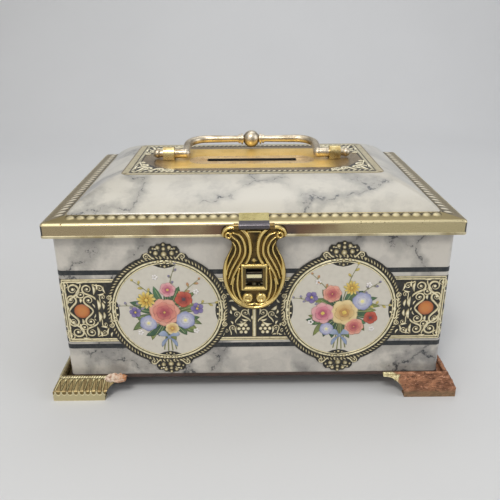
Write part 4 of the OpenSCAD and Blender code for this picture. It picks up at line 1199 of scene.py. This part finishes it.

# Brass-coloured lacquer on the skirt, rubbed smooth, with a painted reflection on it: darker to
# the left, brown towards the middle and dark grey beside the hasp.
skirt_reflection_brass, node, place = finish("brass_skirt_painted_reflection", Metallic=0.9, Roughness=0.27)
sway = node("MapRange", node("TexNoise", place, 40.0, 3.0), 0.0, 1.0, -0.03, 0.03)
along = node("Math", axes(skirt_reflection_brass)[1]["X"], sway)
aside = node("Math ABSOLUTE", along)
# Painted reflection: brown towards the middle, dark grey beside the hasp.
brown = node("MapRange SMOOTHSTEP", aside, SKIRT_DARK_REFLECTION[1] * MM, SKIRT_BROWN_REFLECTION * MM, 1.0, 0.0)
black = node("MapRange", aside, SKIRT_DARK_REFLECTION[0] * MM, SKIRT_DARK_REFLECTION[1] * MM, 0.85, 0.0)
side = node("MapRange", along, -0.05, 0.05)
paint(skirt_reflection_brass, Base_Color=node("Mix RGBA", side, "A89878", "C2B58C"))
cover(skirt_reflection_brass, brown, "7C624E")
cover(skirt_reflection_brass, black, "4E4A4C")

# The rest of the lid: brass paler along the edge as a painted highlight and freckled where it has
# chipped, a hem paler as a painted highlight, brown lacquer on the flat top, yellow in the dish
# turning brown towards its ends as painted shade, and slot lips painted black as shade.
band_brass = metal("brass_lacquered_band", "C4B488", "8F7F5C", 0.26, 0.7, 7.0, 0.01)
edge_highlight_brass = metal("brass_edge_painted_highlight", "D6C9A0", "5A4A30", 0.34, 0.7, 1.6, 0.01, low=0.64, high=0.68)
hem_highlight_brass = metal("brass_hem_painted_highlight", "E2D7B4", "A39470", 0.34, 0.7, 12.0, 0.01)
champagne = metal("brown_lacquered_tin", "9A8560", "7E694A", 0.27, 0.6, 14.0, 0.01)
gold_lacquer = metal("gold_lacquered_dish_painted_shade", "EFCC78", "E2BC62", 0.36, 0.6, 10.0, 0.01, shine=0.55)
# Painted shade: towards the dish's ends the yellow turns brown.
node, at = axes(gold_lacquer)
dish_end_shade = node("MapRange SMOOTHSTEP", node("Math ABSOLUTE", at["X"]), DISH_SHADE_SPAN[0] * MM, DISH_SHADE_SPAN[1] * MM)
cover(gold_lacquer, dish_end_shade, "8C7248")
tan_land = metal("tan_lacquered_land", "E6C894", "CDAA76", 0.32, 0.6, 5.0, 0.01, shine=0.7)
# Painted shade: the slot's lips are black.
slot_lips = metal("painted_shade_slot_lips", "16130F", "221D17", 0.6, 0.6, 3.0, shine=0.2)
bare_tin = metal("bare_tin_inside", "B5AD98", "958C78", 0.38, 0.8, 12.0, 0.02)
dome_marble = marble("lithographed_lid_marble", "C2BEB3", "A5A29B", "3A3F45", 0.43, (40, 15, 0))
lid = make("lid", [lid_patch], [hem_highlight_brass, skirt_reflection_brass, edge_highlight_brass, band_brass, dome_marble, champagne,
                                gold_lacquer, tan_land, slot_lips, bare_tin], sharp=30)
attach(lid, "lid")
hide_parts("lid_shell")


# ==== lid's beaded band ======================================================
# A row of lens shapes embossed beside the dome's foot, each pale on top as a painted highlight
# and in a dark arc of painted shade, with a plain strip outside it. The strip is broader at the
# lid's two ends.

BAND_PITCH = 3.85
BAND_STEPS = 12
BAND_ROWS = 23


def turned_round(patch, quarter):
    """A patch turned by quarters of a turn, anticlockwise from above."""
    c, s = (1, 0, -1, 0)[quarter], (0, 1, 0, -1)[quarter]
    return (patch[0] @ [[c, s, 0], [-s, c, 0], [0, 0, 1]],) + patch[1:]


def beaded_side(half_long, half_deep, own_band, next_band, beads_from, lean, tones):
    """One side's beading, mitred at both ends, lying on the band's slope.

    s runs along the side and w across it from the outer edge to the dome's foot. A bead is
    the top of an ellipsoid from w = beads_from inward, paler towards its top as a painted
    highlight; past its rim it is dark towards the dome as painted shade, and a bright line of
    painted highlight runs along the foot.
    """
    count = int(round(2 * (half_long - next_band) / BAND_PITCH))
    s = np.linspace(0, count, count * BAND_STEPS + 1)[None, :]
    w = np.linspace(EDGE_R * 0.9 / own_band, 1 - 0.1 / own_band, BAND_ROWS)[:, None]
    x = (s / count * 2 - 1) * (half_long - w * next_band)
    y = -(half_deep - w * own_band) + 0 * s
    span = 1 - beads_from
    mid = beads_from + 0.44 * span
    turns = x / BAND_PITCH
    a = (turns - np.round(turns) + lean * (w - mid)) / (0.39 - 0.2 * lean)
    b = (w - mid) / (0.36 * span)
    whole = (np.abs(np.round(turns)) + 0.5) * BAND_PITCH < half_long - mid * next_band + 0.6
    ring = np.sqrt(a ** 2 + b ** 2)
    rise = 0.3 * np.sqrt(np.clip(1 - ring ** 2, 0, 1)) * whole
    groove = np.exp(-((ring - 1.2) / 0.24) ** 2) * whole
    step = (w - w[0]) / (w[-1] - w[0])
    rim = np.minimum(1, np.minimum(step, 1 - step) * 12)
    z = EDGE_Z + (DOME_Z - EDGE_Z) * w + (0.06 + rise - 0.05 * groove) * rim - 0.06 * (1 - rim)
    inner = np.clip(b * 1.6 + 0.8 + 3 * lean, 0, 1) * np.clip((1.4 - b) * 5, 0, 1)
    dark = (groove * inner)[..., None]
    shine = np.clip(rise / 0.3, 0, 1)[..., None]
    foot = np.clip((b - 1.3) * 6, 0, 1)[..., None]
    base, bright, deep = (np.array(linear(c)) for c in tones)
    tints = (1 - dark) * (base + np.maximum(shine, foot) * (bright - base)) + dark * deep
    return grid(x, y, z), grid_quads(BAND_ROWS, s.size), tints.reshape(-1, 4), 0


# Lacquered brass, browned in spots; under its varnish is the piece's own tint, which carries
# the beads' painted highlights and shade.
band_print_and_light = tinted("embossed_brass_print_and_painted_light", 150.0, 5.0, 0.55, 0.78, 0.5, "8A7450",
                    Metallic=0.6, Roughness=0.3)
# Each side's tints: base, painted highlight and painted shade.
long_side = beaded_side(LID_HALF_W, LID_HALF_D, BAND_W, END_BAND_W, 0.42, 0.0,
                        ("95875F", "D6C9A0", "2B2216"))
short_side = beaded_side(LID_HALF_D, LID_HALF_W, END_BAND_W, BAND_W, 0.4, 0.2,
                         ("84744E", "FFF6E0", "1A150C"))
band_patches = [turned_round(short_side if quarter % 2 else long_side, quarter) for quarter in range(4)]
beading = make("lid_band_beading", band_patches, [band_print_and_light])
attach(beading, "lid")


# ==== flat top's border ======================================================
# Ornament printed on the gold top: a plain pale border, a rope row on black, and crooks
# and leaves on a black ground in each corner.

ROPE_INSET = 4.3
ROPE_PITCH = 2.25
BORDER_INSET = 0.5
BORDER_CUT = 1.4
BORDER_TO_ROPE = 1.3
STRIP_OUT = 1.25
STRIP_IN = 1.15
BLACK = "1E1B16"
PRINTED = (BLACK, BLACK, "8F8766", "F1EAD0", "F8F2DC")
PRINTED_RIB = ("6A6248", "D8CEAC", "F8F2DC", "D8CEAC", "6A6248", BLACK)


def top_border():
    """The pale border, the rope row on its dark strip, and the corner ornaments."""
    made = []
    for quarter in range(4):
        half_long, half_deep = (PLATE_HALF_W, PLATE_HALF_D)[::-1 if quarter % 2 else 1]
        a, b = half_long - ROPE_INSET, half_deep - ROPE_INSET
        end, front = half_long - BORDER_INSET - BORDER_CUT, BORDER_INSET - half_deep
        foot, back = a + BORDER_TO_ROPE, -b - BORDER_TO_ROPE
        border = np.array([[-end, front], [end, front], [foot, back], [-foot, back]])
        strip = np.array([[-a - STRIP_OUT, -b - STRIP_OUT], [a - STRIP_OUT, -b - STRIP_OUT],
                          [a - STRIP_OUT, -b + STRIP_IN], [-a - STRIP_OUT, -b + STRIP_IN]])
        side = [slab(border, "BDB18C", -0.02, (1, 0.04), (0, 0.04), slot=0),
                slab(strip, "262119", -0.04, (1, 0.05), (0, 0.05))]
        count = int(round(2 * a / ROPE_PITCH))
        for k in range(count):
            along = -a + (k + 0.5) * 2 * a / count
            side.append(bead(along, -b - 0.05, 1.3, 0.5, ROPE_SLANT, 0.26, PRINTED, 1))
        made += [turned_round(p, quarter) for p in side]
    ground = np.array([[-49.6, -23.6], [-30.0, -23.6], [-31.4, -21.6], [-34.6, -21.0], [-38.4, -19.0],
                       [-41.6, -17.6], [-44.4, -15.4], [-46.6, -11.6], [-47.6, -7.6], [-49.6, -6.4]])
    corner = [slab(ground, BLACK, -0.02, (1, 0.04), (0, 0.05))]
    corner += crooks((((-48.8, -22.8), (-44.6, -18.8), 1), ((-44.0, -22.9), (-39.2, -20.8), 1),
                      ((-38.2, -22.9), (-34.4, -22.2), -1), ((-48.9, -18.0), (-47.0, -13.2), -1),
                      ((-48.8, -12.0), (-48.2, -8.6), 1)), 0.13, PRINTED_RIB, PRINTED, 1)
    corner += leaves((((-47.6, -23.0), (-41.6, -19.4), 0.7), ((-49.0, -20.8), (-48.9, -12.0), 0.5),
                      ((-40.6, -23.0), (-33.0, -21.9), 0.5), ((-45.4, -17.2), (-42.0, -18.6), 0.6),
                      ((-38.0, -20.0), (-34.0, -21.2), 0.5)), lift=0.24, tints=PRINTED, slot=1)
    corner += [flipped(p) for p in corner]
    return made + corner + [spun(p) for p in corner]


border = make("flat_top_border", [moved(p, lift=TOP_Z) for p in top_border()], [gold_print, ink],
              sharp=60)
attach(border, "lid")


# ==== corner slits of the skirt ==============================================
# The skirt is four flaps folded down, so a dark slit shows at each rounded corner. Each
# slit is a thin dark strip that follows the corner round and is closed at its ends.

SLIT_MID = (SKIRT_Z + EDGE_Z) / 2
SLIT_HALF = (EDGE_Z - SKIRT_Z) / 2 - 0.9
SLIT_R = 1.5
turn = np.radians(np.concatenate([[24], np.linspace(24, 66, 7), [66]]))
open_ends = np.concatenate([[0.0], np.ones(7), [0.0]])
slits = []
for quarter, (x_side, y_side) in enumerate(QUARTERS):
    angle = turn + quarter * math.pi / 2
    out = np.array([[0.05], [0.05], [-0.1], [-0.1], [0.05]]) * open_ends
    z = SLIT_MID + SLIT_HALF * np.array([[-1], [1], [1], [-1], [-1]]) * open_ends
    rings = grid(x_side * (LID_HALF_W - SLIT_R) + (SLIT_R + out) * np.cos(angle),
                 y_side * (LID_HALF_D - SLIT_R) + (SLIT_R + out) * np.sin(angle), z)
    slits.append((rings, grid_quads(5, turn.size), linear("1A1512"), 0))
slit_marks = make("skirt_slits", slits, [ink], sharp=40)
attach(slit_marks, "lid")


# ==== handle and its straps ==================================================
# A cast bail, gilt and rubbed to champagne on top, held by two bent brass straps. Each arm
# ends in a stout barrel that turns beside its strap.

PIVOT_Z = 89.9
BARREL = (28.1, 34.75)
BARREL_R = 2.12
STRAP = (35.05, 39.95)
STRAP_R = 3.1
STRAP_T = 0.9
STRAP_STEPS = 19
FOLD_Y = -56.6


def lathe(stations, spin_steps=32):
    """A closed body round the x axis from (x, radius) stations in order of x: points and quads."""
    at, r = np.array(stations, float).T[..., None]
    spin = circle(spin_steps)
    return grid(at, r * np.cos(spin), r * np.sin(spin)), grid_quads(at.size, spin_steps, loop_cols=True)


handle_gilt = metal("rubbed_gilt_casting", "CCC0AA", "9C8C72", 0.3, 0.5, 9.0, 0.01)
strap_brass = metal("bent_brass_strap", "E4D4A0", "B59C66", 0.26, 0.5, 4.0, 0.01)
dress(handle_gilt, "handle")
dress(strap_brass, "handle_bracket_left", "handle_bracket_right")

# The hasp's bracket is the same brass on the lid; where it turns down it is painted grey as
# shade and dark reflection.
hinge_strap = metal("hasp_bracket_brass_painted_shade", "D8CA8C", "B4A262", 0.3, 0.5, 6.0, 0.01)
node, at = axes(hinge_strap)
cover(hinge_strap, node("MapRange", at["Y"], (FOLD_Y - 0.6) * MM, FOLD_Y * MM, 1.0, 0.0), "646064")
dress(hinge_strap, "hasp_bracket")

# The barrels: a cylinder with a domed inner end and a narrow flange beside the strap.
dome = np.radians(np.arange(0, 91, 15))
barrel = [(BARREL[0] + BARREL_R * (1 - math.cos(a)), BARREL_R * math.sin(a)) for a in dome]
barrel += [(BARREL[1] - 1.0, BARREL_R), (BARREL[1] - 0.9, BARREL_R + 0.1), (BARREL[1], BARREL_R + 0.1),
           (BARREL[1], 0.0)]
points, quads = lathe(barrel)
right = (points + [0, 0, PIVOT_Z], quads, None, 0)
barrel_piece = make("handle_barrels", [right, flipped(right)], [handle_gilt], sharp=40)
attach(barrel_piece, "handle")

# The straps' crowns: a thick arch over each bracket, its feet on the flat top.
way = unit(np.linspace(0, math.pi, STRAP_STEPS))
inner = STRAP_R - STRAP_T
section = np.array([(STRAP[0], STRAP_R), (STRAP[1], STRAP_R), (STRAP[1], inner), (STRAP[0], inner)])
rings = grid(section[:, 0], section[:, 1] * way[:, :1], section[:, 1] * way[:, 1:])
feet = rings[[0, -1]] * [1, 1, 0] + [0, 0, TOP_Z + 0.05 - PIVOT_Z]
ends = feet.mean(1, keepdims=True) + np.zeros((2, 4, 3))
rings = np.concatenate([ends[:1], feet[:1], rings, feet[1:], ends[1:]]) + [0, 0, PIVOT_Z]
right = (rings, grid_quads(len(rings), 4, loop_cols=True)[:, ::-1], None, 0)
crown_piece = make("strap_crowns", [flipped(right), right], [strap_brass], sharp=40)
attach(crown_piece, "lid")


# ==== hasp ===================================================================
# A lyre-shaped plate of cast brass: flowing ridges run from its curled ears down round
# a framed window, with two curls below. Dark polish is left in the hollows.

HASP_BOTTOM = 40.85
HASP_HALF_W = 12.1
HASP_BACK_Y = -57.6
HASP_FRONT_Y = -58.6
HASP_LENGTH = 35.0
EDGE_FALL = 0.45
FACE_SINK = 0.35
LUG_IN = 5.75
LUG_OUT = 7.55
LUG_R = 1.2
PIN_Y = -58.9
PIN_Z = 75.85
NOTCH_UP = 33.55
WINDOW_HALF = 3.25
WINDOW_LOW = 10.3
WINDOW_HIGH = 17.7
HASP_OUTLINE = ((0, 0), (0.34, 0.7), (0.62, 3.1), (0.85, 7.6), (0.975, 12.2), (1, 16.4), (0.93, 20.8),
                (0.77, 24.8), (0.69, 27.4), (0.74, 29.3), (0.93, 30.3), (1.02, 32), (0.93, 34.1),
                (0.72, 35.2))


def through(points, steps):
    """A smooth path through points: a Catmull-Rom curve, each piece a cubic in t."""
    points = np.array(points, float)
    padded = np.concatenate([2 * points[:1] - points[1:2], points, 2 * points[-1:] - points[-2:-1]])
    t = np.linspace(0, 1, steps, endpoint=False)[None, :, None]
    a, b, c, d = (padded[i:len(padded) - 3 + i, None] for i in range(4))
    bend, twist = 2 * a - 5 * b + 4 * c - d, 3 * b - a - 3 * c + d
    curve = 0.5 * (2 * b + (c - a) * t + bend * t ** 2 + twist * t ** 3)
    return np.concatenate([curve.reshape(-1, points.shape[1]), points[-1:]])


def shell(front, back, keep):
    """A closed plate from two grids of the same shape: the kept quads in front, the same
    reversed behind, and a strip of quads along every edge that only one kept quad uses.
    """
    rows, cols = front.shape[:2]
    quads = grid_quads(rows, cols)[keep.ravel()]
    edges = np.concatenate([quads[:, [k, (k + 1) % 4]] for k in range(4)])
    _, first, count = np.unique(np.sort(edges, 1), axis=0, return_index=True, return_counts=True)
    rim = edges[first[count == 1]]
    under = rows * cols
    strip = np.column_stack([rim[:, 1], rim[:, 0], rim[:, 0] + under, rim[:, 1] + under])
    return np.stack([front, back]), np.concatenate([quads, quads[:, ::-1] + under, strip])


# Each ridge: points (out from the middle, up from the bottom), half width and height.
RIDGES = ((((11.7, 30.8), (11.5, 32.6), (10.0, 34.0), (7.6, 34.4), (5.2, 33.9), (3.3, 32.3),
            (2.0, 30.0), (1.45, 27.0), (1.45, 24.2), (2.1, 21.8), (3.3, 19.6)), 0.86, 0.95),
          (((7.8, 32.3), (5.6, 31.4), (4.1, 29.2), (3.4, 26.6), (3.5, 23.8), (4.7, 21.0),
            (6.5, 17.8), (8.1, 14.4), (9.0, 11.2)), 0.68, 0.85),
          (((7.8, 30.4), (6.2, 28.8), (5.25, 26.2), (5.6, 23.4), (7.2, 20.2), (8.8, 17.0),
            (9.9, 13.6)), 0.62, 0.8),
          (((8.0, 28.6), (7.0, 26.4), (7.4, 24.0), (8.9, 21.0), (10.2, 17.8), (10.6, 15.2)), 0.52, 0.72),
          (((8.9, 28.2), (9.0, 26.2), (10.0, 23.8), (10.95, 20.6), (11.3, 17.0), (11.2, 13.0),
            (10.3, 9.2), (8.5, 5.7), (6.0, 3.1), (3.0, 1.5), (0, 1.1)), 0.95, 0.95),
          (((5.7, 17.6), (6.3, 14.2), (6.5, 11.0), (6.2, 8.0), (5.4, 5.2), (4.0, 3.4)), 0.6, 0.75),
          (((7.7, 13.6), (8.3, 11.0), (8.2, 8.2), (7.0, 5.3), (5.0, 3.3), (2.6, 2.5),
            (0, 2.6)), 0.5, 0.66))
EAR = (9.6, 31.3)
EAR_R = 1.0
CURL = (2.6, 5.1)
CURL_R = 1.35


def arch(gap):
    """The section of a ridge: an arch of cosine shape, 1 at gap 0 and 0 from gap 1."""
    return np.cos(0.5 * math.pi * np.clip(gap, 0, 1)) ** 0.8


def off_window(x, up):
    """How far a point lies outside the window: beside it, and above or below it."""
    mid, half = (WINDOW_LOW + WINDOW_HIGH) / 2, (WINDOW_HIGH - WINDOW_LOW) / 2
    return np.abs(x) - WINDOW_HALF, np.abs(up - mid) - half


def hasp_height(x, up):
    """Height of the plate's face: the highest of the ridges, ear rings, frame, curls and caps.

    A ridge is little more than half as wide at its ends as in its middle.
    """
    ax = np.abs(x)
    height = np.zeros_like(x)
    for points, half, rise in RIDGES:
        path = through(points, 10)
        taper = half * (0.55 + 0.45 * np.sin(math.pi * np.linspace(0.06, 0.94, len(path))) ** 0.6)
        gap = np.hypot(ax[..., None] - path[:, 0], up[..., None] - path[:, 1]) / taper
        height = np.maximum(height, rise * arch(gap.min(-1)))
    for centre, r, half, rise in ((EAR, EAR_R, 0.55, 0.9), (CURL, CURL_R, 0.8, 0.95)):
        away = np.hypot(ax - centre[0], up - centre[1])
        height = np.maximum(height, rise * arch(np.abs(away - r) / half))
    away = np.hypot(ax - CURL[0], up - CURL[1] - 0.35)
    height = np.maximum(height, 0.62 * np.sqrt(np.clip(1 - (away / 0.95) ** 2, 0, 1)))
    side = np.maximum(*off_window(x, up))
    frame_face = np.interp(side, (0, 0.25, 1.15, 1.6, 1.95), (0.1, 0.18, 0.8, 0.8, 0.0))
    height = np.where(side < 1.95, frame_face, height)
    cap = 0.85 * np.clip(1.4 - np.abs(up - 32.9) / 0.5, 0, 1) * (ax < 2.5)
    drop = 0.6 * np.clip(1 - (ax / 1.1 + np.abs(up - 21.0)) / 1.2, 0, 1)
    return np.maximum(height, np.maximum(cap, drop))


outline = through(HASP_OUTLINE, 12) * [HASP_HALF_W, 1.0]
ups = np.unique(np.round(np.concatenate([
    np.linspace(0, 1.2, 12), np.linspace(1.2, 33.5, 150), [NOTCH_UP], np.linspace(33.7, HASP_LENGTH, 8),
    [WINDOW_LOW, WINDOW_HIGH]]), 4))
half = np.interp(ups, outline[:, 1], outline[:, 0])
inner = np.minimum(WINDOW_HALF, 0.4 * half)
middle = np.minimum(LUG_IN, 0.7 * half)
core = np.linspace(0, 1, 17)
ring_a = np.linspace(0, 1, 13)[1:]
ring_b = np.linspace(0, 1, 31)[1:]
right = np.concatenate([inner[:, None] * core, inner[:, None] + (middle - inner)[:, None] * ring_a,
                        middle[:, None] + (half - middle)[:, None] * ring_b], axis=1)
face_x = np.concatenate([-right[:, :0:-1], right], axis=1)
face_up = np.broadcast_to(ups[:, None], face_x.shape)
rise = hasp_height(face_x, face_up)
rise = rise * np.sqrt(np.clip((half[:, None] - np.abs(face_x)) / EDGE_FALL, 0, 1))
front = np.stack([face_x, HASP_FRONT_Y + FACE_SINK - rise, HASP_BOTTOM + face_up], -1)
back = np.stack([face_x, np.full_like(face_x, HASP_BACK_Y), HASP_BOTTOM + face_up], -1)
mid_x = (face_x[:-1, :-1] + face_x[1:, 1:]) / 2
mid_up = (face_up[:-1, :-1] + face_up[1:, 1:]) / 2
in_window = np.maximum(*off_window(mid_x, mid_up)) < 0
in_notch = (np.abs(mid_x) < LUG_IN) & (mid_up > NOTCH_UP)
points, quads = shell(front, back, ~(in_window | in_notch))
polish_and_painted_shade = np.clip(rise / 0.5, 0, 1)[..., None] ** 0.9
beside, above = off_window(face_x, face_up)
# The window frame's sloped sides are tinted dark as painted shade.
polish_and_painted_shade = np.where(((beside > above) & (beside < 1.25) & (above < 1.2))[..., None], 0.12, polish_and_painted_shade)
tints = (1 - polish_and_painted_shade) * linear("2E2A1E") + polish_and_painted_shade * linear("E4CC86")
tints = np.concatenate([tints.reshape(-1, 4), np.broadcast_to(linear("A08448"), (tints.size // 4, 4))])
hasp_patches = [(points, quads, tints, 0)]

# The two lugs that the pin runs through: short bars, round in section, tinted dark as painted
# shade.
for side in (-1, 1):
    points, quads = lathe(((LUG_IN, 0), (LUG_IN, LUG_R), (LUG_OUT, LUG_R), (LUG_OUT, 0)), 20)
    bar = points[..., [0, 2, 1]] * [side, side, 1] + [0, PIN_Y, PIN_Z]
    hasp_patches.append((bar, quads[:, ::-1], linear("6E5F40"), 0))

# Cast brass, dipped bright and lacquered: its colour is the piece's own, dark in the hollows,
# with painted shade darkening the window frame's sides and the lugs.
cast_brass = tinted("bright_dipped_cast_brass", 240.0, 3.0, 0.35, 0.7, 0.35, "A88448", Metallic=0.95,
                    Roughness=0.24)
hasp = make("hasp_lyre", hasp_patches, [cast_brass], sharp=50)
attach(hasp, "hasp")
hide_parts("hasp")
